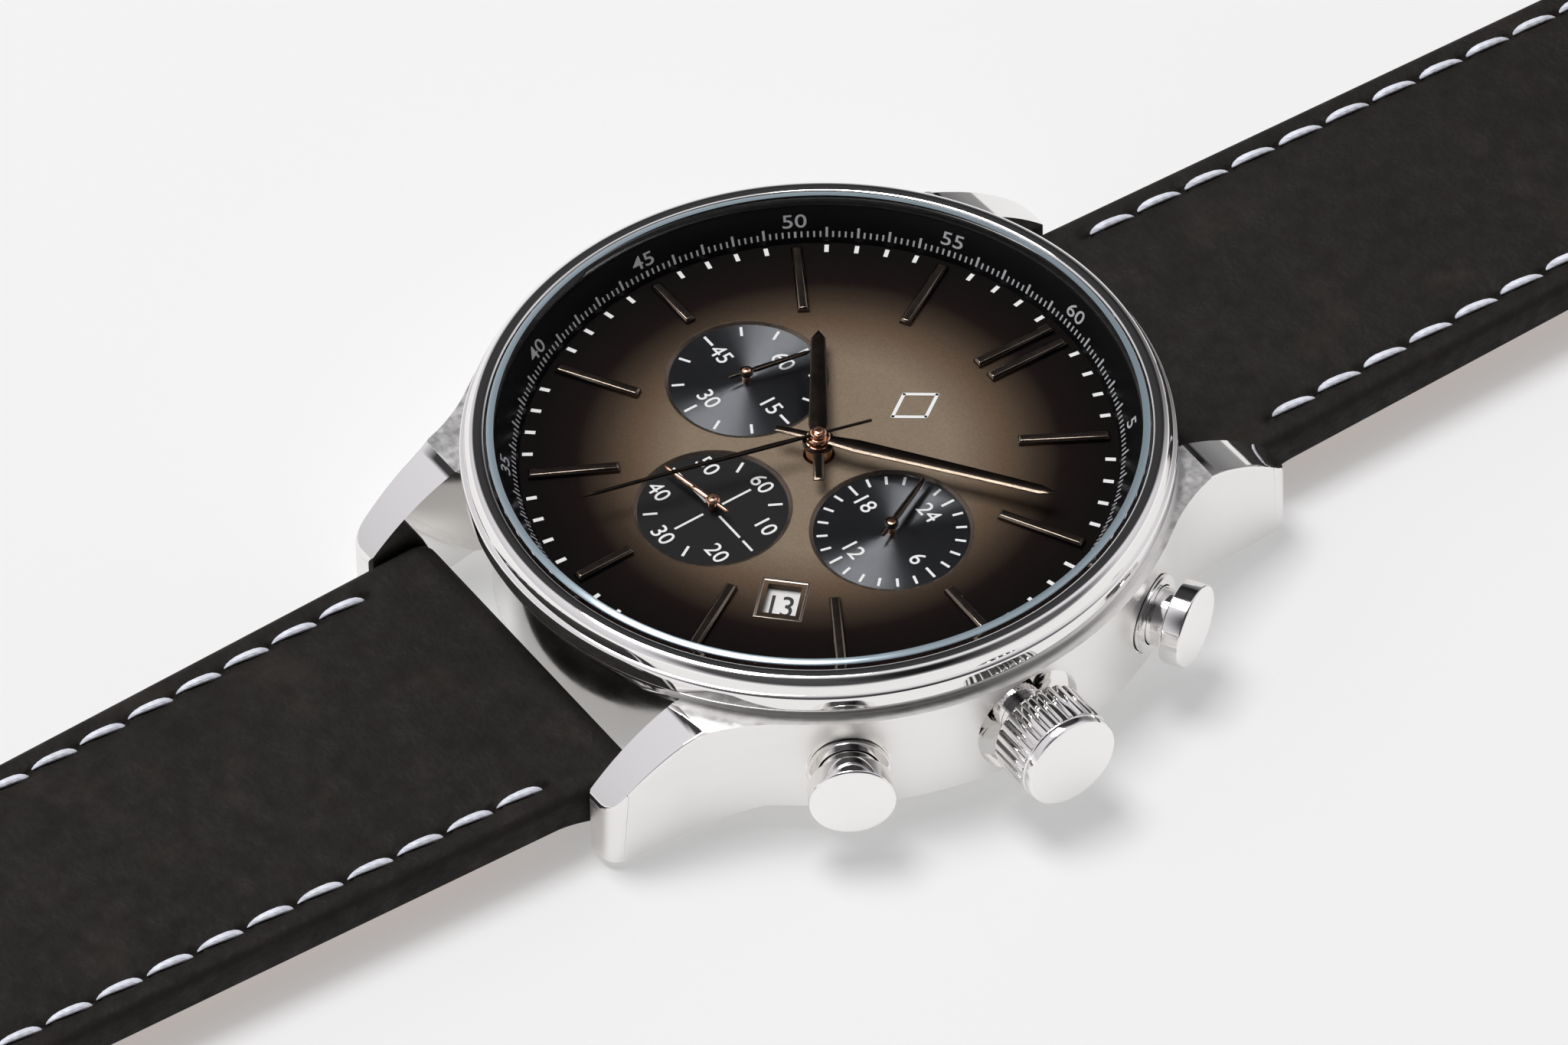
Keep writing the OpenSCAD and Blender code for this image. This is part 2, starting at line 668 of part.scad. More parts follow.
function strap_edge(end) = [[half_width(0), -loop_r - 1], [half_width(0), 0],
                            [half_width(min(taper_end, end)), min(taper_end, end)]];
function both_sides(points) =
  concat(points, [for (i = [len(points) - 1:-1:0]) [-points[i][0], points[i][1]]]);

module strap_plan_12() polygon(both_sides(concat(strap_edge(strap_12_l),
  [[half_width(strap_12_l), strap_12_l + pin_loop_r + 1]])));
module strap_plan_6() polygon(both_sides(concat(strap_edge(strap_6_l - 14),
  bez([half_width(strap_6_l), strap_6_l - 13], [half_width(strap_6_l) * 0.8, strap_6_l - 1.5],
      [0.4, strap_6_l], 8))));

module layer(z0, z1, start, end) {
  translate([-strap_w, start, z0]) cube([2 * strap_w, end - start, z1 - z0]);
}

module along_x(r, y, z) {
  translate([-strap_w, y, z]) rotate([0, 90, 0]) cylinder(r = r, h = 2 * strap_w);
}

module in_plan(side) {
  intersection() {
    children();
    translate([0, 0, -10]) linear_extrude(20) {
      if (side > 0) strap_plan_12();
      else strap_plan_6();
    }
  }
}

module holes_6() {
  for (i = [0:strap_holes - 1])
    translate([0, strap_6_l - hole_from_tip - i * hole_pitch, -10]) cylinder(r = hole_r, h = 20);
}

module tongue_opening() {
  translate([-tongue_slot / 2, strap_12_l - 7, -10]) cube([tongue_slot, 20, 20]);
}

module strap_12_leather() color([0.08, 0.075, 0.07]) strap_place(1) difference() {
  in_plan(1) {
    union() {
      along_x(loop_r, 0, 0);
      layer(strap_low + lining_t, strap_top, 0, strap_12_l);
      along_x(pin_loop_r, strap_12_l, pin_dz);
    }
  }
  along_x(bar_r + run, 0, 0);
  along_x(buckle_pin_r + run, strap_12_l, pin_dz);
  tongue_opening();
}

module strap_12_lining() color([0.65, 0.45, 0.28]) strap_place(1) difference() {
  in_plan(1) layer(strap_low, strap_low + lining_t, layer_start, strap_12_l - pin_loop_r - 0.1);
  tongue_opening();
}

module strap_6_leather() color([0.08, 0.075, 0.07]) strap_place(-1) difference() {
  in_plan(-1) {
    union() {
      along_x(loop_r, 0, 0);
      layer(strap_low + lining_t, strap_top, 0, strap_6_l);
    }
  }
  along_x(bar_r + run, 0, 0);
  holes_6();
}

module strap_6_lining() color([0.65, 0.45, 0.28]) strap_place(-1) difference() {
  in_plan(-1) layer(strap_low, strap_low + lining_t, layer_start, strap_6_l);
  holes_6();
}

// Stitches of one half: two rows that follow the edges
module stitch_rows(last) color("white") {
  for (d = [stitch_from:stitch_pitch:last], s = [-1, 1])
    translate([s * (half_width(d + stitch_l / 2) - stitch_inset) - stitch_w / 2, d, strap_top])
      cube([stitch_w, stitch_l, stitch_h]);
}

module strap_12_stitching() strap_place(1) stitch_rows(fixed_keeper_d - 4);
module strap_6_stitching() strap_place(-1) stitch_rows(strap_6_l - 17);

// A leather loop round the strap, with room over it for the other half
module keeper(d, half) color([0.08, 0.075, 0.07]) strap_place(1) {
  low = strap_low - air;
  high = strap_top + keeper_room;
  difference() {
    translate([-half - keeper_t, d, low - keeper_t])
      cube([2 * (half + keeper_t), keeper_w, high - low + 2 * keeper_t]);
    translate([-half, d - 1, low]) cube([2 * half, keeper_w + 2, high - low]);
  }
}

module fixed_keeper() keeper(fixed_keeper_d, half_width(fixed_keeper_d) + air);
module free_keeper() keeper(free_keeper_d, half_width(free_keeper_d - 8) + 0.25);

// ---- Buckle ----

module buckle_pin() color("silver") strap_place(1) translate([0, strap_12_l, pin_dz])
  rotate([0, 90, 0]) cylinder(r = buckle_pin_r, h = 2 * (buckle_in + buckle_arm - 0.2), center = true);

module buckle() color("silver") strap_place(1) translate([0, strap_12_l, pin_dz]) difference() {
  union() {
    for (s = [0, 1]) mirror([s, 0, 0]) {
      translate([buckle_in, 0, -buckle_h / 2]) cube([buckle_arm, buckle_reach - 1, buckle_h - 0.5]);
      translate([buckle_in, 0, 0]) rotate([0, 90, 0]) cylinder(r = buckle_h / 2, h = buckle_arm);
    }
    translate([-buckle_in - buckle_arm, buckle_reach - buckle_bar, -buckle_h / 2])
      cube([2 * (buckle_in + buckle_arm), buckle_bar, buckle_h - 0.5]);
  }
  rotate([0, 90, 0]) cylinder(r = buckle_pin_r + run, h = 60, center = true);
}

module buckle_tongue() color("silver") strap_place(1) translate([0, strap_12_l, pin_dz]) difference() {
  union() {
    translate([-tongue_w / 2, 0, 0]) rotate([0, 90, 0]) cylinder(r = pin_loop_r, h = tongue_w);
    translate([-tongue_w / 2, 0, pin_loop_r - tongue_t + 0.05])
      cube([tongue_w, buckle_reach - 0.3, tongue_t]);
  }
  rotate([0, 90, 0]) cylinder(r = buckle_pin_r + run, h = 60, center = true);
}

case_middle();
bezel();
crystal();
crystal_gasket();
flange_ring();
dial();
hour_markers();
movement_holder();
main_plate();
circuit_board();
battery();
battery_clamp();
motor_coils();
motor_stators();
train_bridge();
bridge_screws();
crown_tube();
pusher_tubes();
case_back();
case_back_gasket();
spring_bar_12();
spring_bar_6();
spring_bar_tip_12_left();
spring_bar_tip_12_right();
spring_bar_tip_6_left();
spring_bar_tip_6_right();
date_ring();
minute_hand();
cannon_pinion();
hour_hand();
hour_wheel();
minute_wheel();
hand_24h();
wheel_24h();
day_idler();
chrono_seconds_hand();
chrono_seconds_arbor();
small_seconds_hand();
chrono_minutes_hand();
setting_pinion();
crown();
winding_stem();
crown_gasket();
start_pusher();
start_pusher_clip();
start_pusher_spring();
reset_pusher();
reset_pusher_clip();
reset_pusher_spring();
strap_12_leather();
strap_12_lining();
strap_12_stitching();
fixed_keeper();
free_keeper();
buckle_pin();
buckle();
buckle_tongue();
strap_6_leather();
strap_6_lining();
strap_6_stitching();
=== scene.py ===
import json
import math

import bmesh
import bpy
from bpy.props import FloatProperty, FloatVectorProperty, PointerProperty
from mathutils import Matrix, Vector, noise

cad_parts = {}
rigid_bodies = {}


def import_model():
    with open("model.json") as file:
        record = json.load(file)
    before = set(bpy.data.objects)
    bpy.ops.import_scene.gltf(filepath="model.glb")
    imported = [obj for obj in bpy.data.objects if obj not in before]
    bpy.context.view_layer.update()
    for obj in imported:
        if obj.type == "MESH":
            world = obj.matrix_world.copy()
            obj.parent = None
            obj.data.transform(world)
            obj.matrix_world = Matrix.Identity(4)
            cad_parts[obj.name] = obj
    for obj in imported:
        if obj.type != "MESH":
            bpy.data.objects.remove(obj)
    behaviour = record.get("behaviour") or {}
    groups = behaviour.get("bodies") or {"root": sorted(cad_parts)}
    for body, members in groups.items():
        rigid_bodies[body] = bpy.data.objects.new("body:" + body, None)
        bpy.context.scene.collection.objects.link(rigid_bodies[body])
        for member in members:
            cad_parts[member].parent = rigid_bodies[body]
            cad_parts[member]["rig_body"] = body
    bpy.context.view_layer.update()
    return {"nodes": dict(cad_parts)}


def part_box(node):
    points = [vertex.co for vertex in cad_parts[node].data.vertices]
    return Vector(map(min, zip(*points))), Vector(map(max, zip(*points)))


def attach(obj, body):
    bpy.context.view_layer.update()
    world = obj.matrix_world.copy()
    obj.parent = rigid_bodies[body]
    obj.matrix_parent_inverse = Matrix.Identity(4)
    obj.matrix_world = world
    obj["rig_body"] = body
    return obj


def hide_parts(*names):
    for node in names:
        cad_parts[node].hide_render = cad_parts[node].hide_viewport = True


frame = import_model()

bl_info = {
    "name": "Chronograph Wristwatch",
    "version": (1, 0, 0),
    "blender": (4, 5, 0),
    "location": "3D View > Sidebar > Watch",
    "description": "Builds the finished pieces of a chronograph wristwatch round its packed frame",
    "category": "Object",
}

MM = 0.001
TURN_STEPS = 240
SMOOTH_ANGLE = math.radians(32)
BODY_OF = {node: obj["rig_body"] for node, obj in frame["nodes"].items()}

# ---- Places, read from the frame, in millimetres ----


def low(node, axis):
    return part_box(node)[0][axis] / MM


def high(node, axis):
    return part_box(node)[1][axis] / MM


def centre_of(node, axis):
    return (low(node, axis) + high(node, axis)) / 2


BEZEL_R = high("bezel", 0)
BEZEL_LOW, BEZEL_TOP = low("bezel", 2), high("bezel", 2)
GLASS_R = high("crystal", 0)
GLASS_Z, DOME_TOP = low("crystal", 2), high("crystal", 2)
FLANGE_R, FLANGE_TOP = high("flange_ring", 0), high("flange_ring", 2)
DIAL_R, DIAL_Z = high("dial", 0), high("dial", 2)
MARKER_OUT = high("hour_markers", 1)
MARKER_H = high("hour_markers", 2) - DIAL_Z
DIAL_EDGE_R = MARKER_OUT + 0.5
COUNTER_OFFSET = centre_of("wheel_24h", 0)
COUNTER_DEPTH = 0.15
# Each counter's centre and radius
COUNTERS = {"left": ((-COUNTER_OFFSET, 0.0), 4.65), "low": ((0.0, -COUNTER_OFFSET), 4.5),
            "right": ((COUNTER_OFFSET, 0.0), 4.65)}
STEM_Z = centre_of("crown", 2)
CROWN_R = (high("crown", 2) - low("crown", 2)) / 2
CROWN_BASE, CROWN_END = low("crown", 0), high("crown", 0)
CASE_R = high("case_middle", 0)
FLANK_R = BEZEL_R + 0.5
BAR_Y, BAR_Z = centre_of("spring_bar_12", 1), centre_of("spring_bar_12", 2)
STRAP_TOP = high("strap_12_leather", 2) - BAR_Z
STRAP_LOW = low("strap_12_lining", 2) - BAR_Z
STRAP_HALF = high("strap_12_leather", 0)
LINING_T = high("strap_12_lining", 2) - low("strap_12_lining", 2)
LOOP_R = (high("strap_12_leather", 2) - low("strap_12_leather", 2)) / 2
STRAP_12_L = centre_of("buckle_pin", 1) - BAR_Y
STRAP_6_L = -low("strap_6_leather", 1) - BAR_Y
TAPER_END = 75.0
BUCKLE_END_HALF = 9.0
PUSHER_ANGLES = {"start_pusher": 30.0, "reset_pusher": -30.0}


# ---- Settings a user may change ----


class WatchSteelSettings(bpy.types.PropertyGroup):
    steel_tone: FloatVectorProperty(
        name="Steel", description="Colour of the steel", subtype="COLOR", default=(0.91, 0.895, 0.88))
    polish: FloatProperty(
        name="Polish", description="Roughness of the polished faces", default=0.05, min=0.0, max=1.0)
    brushing: FloatProperty(
        name="Brushing", description="Roughness of the brushed flanks", default=0.36, min=0.0, max=1.0)


class WatchDialSettings(bpy.types.PropertyGroup):
    middle_tone: FloatVectorProperty(
        name="Middle", description="Dial colour at the centre", subtype="COLOR",
        default=(0.255, 0.196, 0.138))
    brown_tone: FloatVectorProperty(
        name="Fade", description="Dial colour where it fades", subtype="COLOR", default=(0.120, 0.080, 0.052))
    edge_tone: FloatVectorProperty(
        name="Edge", description="Dial colour at the edge", subtype="COLOR", default=(0.0070, 0.0034, 0.0026))
    numeral_size: FloatProperty(
        name="Numeral size", description="Size of the counters' numerals, in millimetres", default=1.42)


class WatchStrapSettings(bpy.types.PropertyGroup):
    leather_tone: FloatVectorProperty(
        name="Leather", description="Colour of the outer leather", subtype="COLOR",
        default=(0.0098, 0.0076, 0.0061))
    lining_tone: FloatVectorProperty(
        name="Lining", description="Colour of the lining leather", subtype="COLOR",
        default=(0.46, 0.235, 0.115))
    thread_tone: FloatVectorProperty(
        name="Thread", description="Colour of the thread", subtype="COLOR", default=(0.80, 0.82, 0.90))
    stitch_pitch: FloatProperty(
        name="Stitch pitch", description="From one stitch to the next, in millimetres", default=3.3)
    stitch_length: FloatProperty(
        name="Stitch length", description="Length of one stitch, in millimetres", default=2.95)


class WatchStageSettings(bpy.types.PropertyGroup):
    azimuth: FloatProperty(
        name="Azimuth", description="Direction of the camera from three o'clock, in degrees", default=-33.4)
    elevation: FloatProperty(
        name="Elevation", description="Height of the camera over the horizon, in degrees", default=45.76)
    roll: FloatProperty(name="Roll", description="Roll of the camera, in degrees", default=-1.39)
    lens: FloatProperty(name="Lens", description="Focal length, in millimetres", default=421.9)


# ---- Mesh helpers: sizes go in as millimetres ----


def placed(name, data):
    """Puts a new object with this data in the scene."""
    obj = bpy.data.objects.new(name, data)
    bpy.context.scene.collection.objects.link(obj)
    return obj


def new_piece(bm, name, finishes, nodes=(), body="case", smooth=True, weighted=False):
    """Closes off a bmesh in millimetres as one piece that rides on a body and stands for CAD nodes."""
    bmesh.ops.transform(bm, matrix=Matrix.Scale(MM, 4), verts=bm.verts)
    mesh = bpy.data.meshes.new(name)
    if smooth:
        for face in bm.faces:
            face.smooth = True
        for edge in bm.edges:
            edge.smooth = len(edge.link_faces) != 2 or edge.calc_face_angle(0.0) < SMOOTH_ANGLE
    bm.to_mesh(mesh)
    bm.free()
    obj = placed(name, mesh)
    finishes = [finishes] if isinstance(finishes, str) else finishes
    for finish in finishes:
        mesh.materials.append(finish_of(finish))
    if weighted:
        modifier = obj.modifiers.new("Face weighted shading", "WEIGHTED_NORMAL")
        modifier.keep_sharp = True
    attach(obj, body)
    if nodes:
        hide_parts(*nodes)
    return obj


def refine(node, finish, width=0.06, weighted=True):
    """Stands a CAD node's own shape with softened edges in the node's place."""
    bm = soften(cad_copy(node), width)
    return new_piece(bm, "refined_" + node, finish, [node], BODY_OF[node], weighted=weighted)


def outward(bm):
    bmesh.ops.remove_doubles(bm, verts=bm.verts, dist=1e-5)
    bmesh.ops.recalc_face_normals(bm, faces=bm.faces)
    return bm


def turned(profile, steps=TURN_STEPS, closed=True, centre=(0, 0)):
    """A piece turned from a profile of (radius, height); an open profile starts and ends on the axis."""
    bm = bmesh.new()
    verts = [bm.verts.new((r, 0, z)) for r, z in profile]
    pairs = list(zip(verts, verts[1:]))
    if closed:
        pairs.append((verts[-1], verts[0]))
    edges = [bm.edges.new(pair) for pair in pairs]
    bmesh.ops.spin(bm, geom=verts + edges, cent=(0, 0, 0), axis=(0, 0, 1), angle=math.tau,
                   steps=steps, use_merge=True)
    outward(bm)
    bmesh.ops.translate(bm, vec=(*centre, 0), verts=bm.verts)
    return bm


def ring_walls(bm, rings):
    """Joins each ring of vertices to the next with a wall of four-sided faces."""
    for one, two in zip(rings, rings[1:]):
        for i in range(len(one)):
            j = (i + 1) % len(one)
            bm.faces.new((one[i], one[j], two[j], two[i]))


def arc(cx, cz, r, start, end, count):
    """Points on an arc of a profile, from a start angle to an end angle in degrees."""
    return [(cx + r * math.cos(math.radians(start + (end - start) * i / count)),
             cz + r * math.sin(math.radians(start + (end - start) * i / count))) for i in range(count + 1)]


def curve3(a, b, c, count):
    """Points on a quadratic curve from a to c, pulled towards b."""
    points = []
    for i in range(count + 1):
        t = i / count
        points.append(tuple((1 - t) ** 2 * p + 2 * t * (1 - t) * q + t * t * s for p, q, s in zip(a, b, c)))
    return points


def soften(bm, width, angle=28, segments=2, chosen=None, clamp=True):
    """Bevels the edges that are sharper than an angle."""
    limit = math.radians(angle)
    edges = [e for e in bm.edges if len(e.link_faces) == 2 and e.calc_face_angle(0.0) > limit
             and (chosen is None or chosen(e))]
    if edges:
        bmesh.ops.bevel(bm, geom=edges, offset=width, segments=segments, profile=0.5, affect="EDGES",
                        material=-1, clamp_overlap=clamp)
    return bm


def upright(edge):
    return abs(edge.verts[0].co.z - edge.verts[1].co.z) > 1


def cad_copy(node):
    """A CAD node's shape as a clean bmesh in millimetres, with its flat faces whole."""
    bm = bmesh.new()
    bm.from_mesh(frame["nodes"][node].data)
    bmesh.ops.transform(bm, matrix=Matrix.Scale(1 / MM, 4), verts=bm.verts)
    bmesh.ops.remove_doubles(bm, verts=bm.verts, dist=1e-4)
    bmesh.ops.dissolve_limit(bm, angle_limit=math.radians(0.4), verts=bm.verts, edges=bm.edges)
    return bm


def add_box(bm, size, centre=(0, 0, 0), turn=None):
    """Adds a box to a bmesh and returns its vertices."""
    verts = bmesh.ops.create_cube(bm, size=1.0)["verts"]
    matrix = Matrix.Translation(centre) @ Matrix.Diagonal((*size, 1))
    if turn is not None:
        matrix = turn @ matrix
    bmesh.ops.transform(bm, matrix=matrix, verts=verts)
    return verts


def prism(bm, outline, z0, z1):
    """Adds a straight prism on an outline in X and Y, and returns its vertices."""
    base = [bm.verts.new((x, y, z0)) for x, y in outline]
    face = bm.faces.new(base)
    top = bmesh.ops.extrude_face_region(bm, geom=[face])["geom"]
    moved = [v for v in top if isinstance(v, bmesh.types.BMVert)]
    bmesh.ops.translate(bm, vec=(0, 0, z1 - z0), verts=moved)
    return base + moved


def radial_turn(angle):
    """Carries a piece turned round Z onto the radius at an angle, at the height of the stem."""
    return (Matrix.Translation((0, 0, STEM_Z)) @ Matrix.Rotation(math.radians(angle), 4, "Z")
            @ Matrix.Rotation(math.pi / 2, 4, "Y"))


def clock(angle):
    """Turns a shape that points to twelve to a clockwise angle in degrees."""
    return Matrix.Rotation(-math.radians(angle), 4, "Z")


def add_text(bm, words, size, depth, place, weight=0.004):
    """Adds raised lettering, centred on the origin in X and Y, each point moved by place(point)."""
    curve = bpy.data.curves.new("lettering", "FONT")
    curve.body = words
    curve.size = size
    curve.align_x = "CENTER"
    curve.align_y = "CENTER"
    curve.extrude = depth / 2
    curve.offset = size * weight
    curve.resolution_u = 4
    holder = placed("lettering", curve)
    graph = bpy.context.evaluated_depsgraph_get()
    mesh = bpy.data.meshes.new_from_object(holder.evaluated_get(graph))
    xs = [v.co.x for v in mesh.vertices]
    ys = [v.co.y for v in mesh.vertices]
    middle = Vector(((min(xs) + max(xs)) / 2, (min(ys) + max(ys)) / 2, -depth / 2))
    for vertex in mesh.vertices:
        vertex.co = place(vertex.co - middle)
    bm.from_mesh(mesh)
    bmesh.ops.remove_doubles(bm, verts=bm.verts, dist=1e-4)
    bpy.data.meshes.remove(mesh)
    bpy.data.objects.remove(holder)
    bpy.data.curves.remove(curve)


# ---- Materials ----


class Maker:
    """A material's node tree, with short calls for the nodes that the finishes share."""

    def __init__(self, name, tone, roughness, metallic=0.0):
        self.material = bpy.data.materials.new(name)
        self.material.use_nodes = True
        self.nodes = self.material.node_tree.nodes
        self.links = self.material.node_tree.links
        self.shader = self.nodes["Principled BSDF"]
        self.set("Base Color", (*tone, 1.0))
        self.set("Roughness", roughness)
        self.set("Metallic", metallic)
        self.coords = self.nodes.new("ShaderNodeTexCoord").outputs["Object"]

    def set(self, socket, value):
        self.shader.inputs[socket].default_value = value
        return self

    def link(self, output, socket):
        self.links.new(output, self.shader.inputs[socket])

    def mapped(self, scale=(1, 1, 1), location=(0, 0, 0), rotation=(0, 0, 0)):
        node = self.nodes.new("ShaderNodeMapping")
        node.inputs["Scale"].default_value = scale
        node.inputs["Location"].default_value = location
        node.inputs["Rotation"].default_value = rotation
        self.links.new(self.coords, node.inputs["Vector"])
        return node.outputs["Vector"]

    def texture(self, kind, scale, vector=None):
        """A texture on the piece's own coordinates, or on others that it is given."""
        node = self.nodes.new("ShaderNodeTex" + kind)
        node.inputs["Scale"].default_value = scale
        self.links.new(self.coords if vector is None else vector, node.inputs["Vector"])
        return node

    def noise(self, scale, detail=3.0, vector=None, rough=0.5):
        node = self.texture("Noise", scale, vector)
        node.inputs["Detail"].default_value = detail
        node.inputs["Roughness"].default_value = rough
        return node.outputs["Fac"]

    def cells(self, scale, feature="F1"):
        node = self.texture("Voronoi", scale)
        node.feature = feature
        return node.outputs["Distance"]

    def waves(self, scale, vector=None, distortion=0.0):
        node = self.texture("Wave", scale, vector)
        node.inputs["Distortion"].default_value = distortion
        return node.outputs["Fac"]

    def ramp(self, value, stops):
        node = self.nodes.new("ShaderNodeValToRGB")
        elements = node.color_ramp.elements
        while len(elements) < len(stops):
            elements.new(0.5)
        for element, (position, tone) in zip(elements, stops):
            element.position = position
            element.color = (*tone, 1.0)
        self.links.new(value, node.inputs["Fac"])
        return node.outputs["Color"]

    def spread(self, value, low_value, high_value, source=(0.3, 0.7)):
        node = self.nodes.new("ShaderNodeMapRange")
        node.inputs["From Min"].default_value = source[0]
        node.inputs["From Max"].default_value = source[1]
        node.inputs["To Min"].default_value = low_value
        node.inputs["To Max"].default_value = high_value
        self.links.new(value, node.inputs["Value"])
        return node.outputs["Result"]

    def from_axis(self, centre, operation):
        """The place across from a vertical axis, in metres, put through a vector operation."""
        node = self.nodes.new("ShaderNodeVectorMath")
        node.operation = operation
        flat = self.mapped(scale=(1, 1, 0), location=(-centre[0] * MM, -centre[1] * MM, 0))
        self.links.new(flat, node.inputs[0])
        return node

    def radius(self, centre=(0, 0)):
        """Distance from a vertical axis."""
        return self.from_axis(centre, "LENGTH").outputs["Value"]

    def away_from(self, centre):
        """The direction away from a vertical axis, across finely turned rings."""
        return self.from_axis(centre, "NORMALIZE").outputs["Vector"]

    def rings(self, centre, scale):
        """Fine rings round a vertical axis."""
        combine = self.nodes.new("ShaderNodeCombineXYZ")
        self.links.new(self.radius(centre), combine.inputs["X"])
        return self.waves(scale, combine.outputs["Vector"])

    def bump(self, height, strength, distance, below=None):
        node = self.nodes.new("ShaderNodeBump")
        node.inputs["Strength"].default_value = strength
        node.inputs["Distance"].default_value = distance
        self.links.new(height, node.inputs["Height"])
        if below is not None:
            self.links.new(below, node.inputs["Normal"])
        return node.outputs["Normal"]


def polished_steel(name="PolishedSteel", roughness=None):
    settings = bpy.context.scene.watch_steel
    made = Maker(name, settings.steel_tone, settings.polish, 1.0)
    base = settings.polish if roughness is None else roughness
    made.link(made.spread(made.noise(420, 5), base * 0.7, base * 1.6), "Roughness")
    return made.material


def brushed_steel():
    """Steel with fine lines that run round the case."""
    settings = bpy.context.scene.watch_steel
    made = Maker("BrushedSteel", settings.steel_tone, settings.brushing, 1.0)
    lines = made.noise(900, 4, made.mapped(scale=(0.35, 0.35, 14)))
    made.link(made.spread(lines, settings.brushing * 0.8, settings.brushing * 1.25), "Roughness")
    made.link(made.bump(lines, 0.10, 0.00002), "Normal")
    made.set("Anisotropic", 0.4)
    return made.material


def case_back_steel():
    """Steel with fine straight lines."""
    made = Maker("CaseBackSteel", bpy.context.scene.watch_steel.steel_tone, 0.3, 1.0)
    lines = made.noise(2600, 3, made.mapped(scale=(1, 0.03, 1)))
    made.link(made.spread(lines, 0.22, 0.38), "Roughness")
    made.link(made.bump(lines, 0.12, 0.00002), "Normal")
    return made.material


def glass():
    """Coated mineral glass, clear to the light that falls on what lies under it."""
    made = Maker("MineralGlass", (1, 1, 1), 0.0)
    made.set("Transmission Weight", 1.0).set("IOR", 1.25).set("Specular Tint", (0.5, 0.46, 0.72, 1.0))
    smear = made.noise(160, 2)
    made.link(made.spread(smear, 0.0, 0.004), "Roughness")
    clear = made.nodes.new("ShaderNodeBsdfTransparent")
    path = made.nodes.new("ShaderNodeLightPath")
    mix = made.nodes.new("ShaderNodeMixShader")
    either = path.outputs["Is Shadow Ray"]
    for kind in ("Is Diffuse Ray", "Is Glossy Ray"):
        node = made.nodes.new("ShaderNodeMath")
        node.operation = "MAXIMUM"
        made.links.new(either, node.inputs[0])
        made.links.new(path.outputs[kind], node.inputs[1])
        either = node.outputs["Value"]
    made.links.new(either, mix.inputs["Fac"])
    made.links.new(made.shader.outputs["BSDF"], mix.inputs[1])
    made.links.new(clear.outputs["BSDF"], mix.inputs[2])
    made.links.new(mix.outputs["Shader"], made.nodes["Material Output"].inputs["Surface"])
    return made.material


def dial_lacquer():
    """Taupe in the middle, through brown to black at the edge, with a fine metallic grain."""
    settings = bpy.context.scene.watch_dial
    made = Maker("DialLacquer", settings.middle_tone, 0.45, 0.25)
    share = made.spread(made.radius(), 0.0, 1.0, (0.0, DIAL_R * MM))
    middle, brown, edge = (Vector(t) for t in (settings.middle_tone, settings.brown_tone, settings.edge_tone))
    stops = ((0, middle), (7.4, middle * 0.93), (10.3, brown), (12.2, brown * 0.38),
             (13.7, edge), (16, edge * 0.4))
    fade = made.ramp(share, [(r / DIAL_R, tuple(tone)) for r, tone in stops])
    grain = made.noise(9000, 2)
    mix = made.nodes.new("ShaderNodeMix")
    mix.data_type = "RGBA"
    mix.blend_type = "MULTIPLY"
    mix.inputs["Factor"].default_value = 0.4
    made.links.new(fade, mix.inputs["A"])
    made.links.new(made.ramp(grain, [(0.3, (0.55, 0.55, 0.55)), (0.7, (1, 1, 1))]), mix.inputs["B"])
    made.link(mix.outputs["Result"], "Base Color")
    made.set("Specular IOR Level", 0.06)
    return made.material


def sunburst_black(name, centre):
    """Black metal turned in fine rings, which throws a bow of light across the counter."""
    made = Maker(name, (0.105, 0.109, 0.117), 0.26, 1.0)
    made.set("Anisotropic", 0.97)
    made.link(made.away_from(centre), "Tangent")
    made.link(made.spread(made.rings(centre, 9000), 0.22, 0.28), "Roughness")
    return made.material


def plain(name, tone, roughness, metallic=0.0, grain=2500, depth=0.06, gloss=0.5):
    """A finish whose roughness and surface vary a little at the scale of its grain."""
    made = Maker(name, tone, roughness, metallic).set("Specular IOR Level", gloss)
    speck = made.noise(grain, 3)
    made.link(made.spread(speck, roughness * 0.85, min(1.0, roughness * 1.15)), "Roughness")
    made.link(made.bump(speck, depth, 0.00002), "Normal")
    return made.material


def black_leather():
    settings = bpy.context.scene.watch_strap
    made = Maker("BlackLeather", settings.leather_tone, 0.7)
    tone = Vector(settings.leather_tone)
    cloud = made.noise(260, 5, rough=0.62)
    shades = [(0.3, tuple(tone * 0.75)), (0.55, tuple(tone)), (0.8, tuple(tone * 2.1))]
    made.link(made.ramp(cloud, shades), "Base Color")
    made.link(made.spread(made.noise(900, 4), 0.58, 0.8), "Roughness")
    pores = made.bump(made.cells(2600), 0.6, 0.00005)
    creases = made.bump(made.noise(1700, 6, rough=0.7), 0.8, 0.00010, pores)
    made.link(made.bump(made.noise(420, 3), 0.35, 0.00015, creases), "Normal")
    made.set("Specular IOR Level", 0.23)
    return made.material


def tan_leather():
    settings = bpy.context.scene.watch_strap
    made = Maker("TanLining", settings.lining_tone, 0.6)
    tone = Vector(settings.lining_tone)
    cloud = made.noise(420, 5)
    made.link(made.ramp(cloud, [(0.3, tuple(tone * 0.8)), (0.7, tuple(tone * 1.15))]), "Base Color")
    made.link(made.bump(made.noise(3200, 5), 0.4, 0.00005), "Normal")
    return made.material


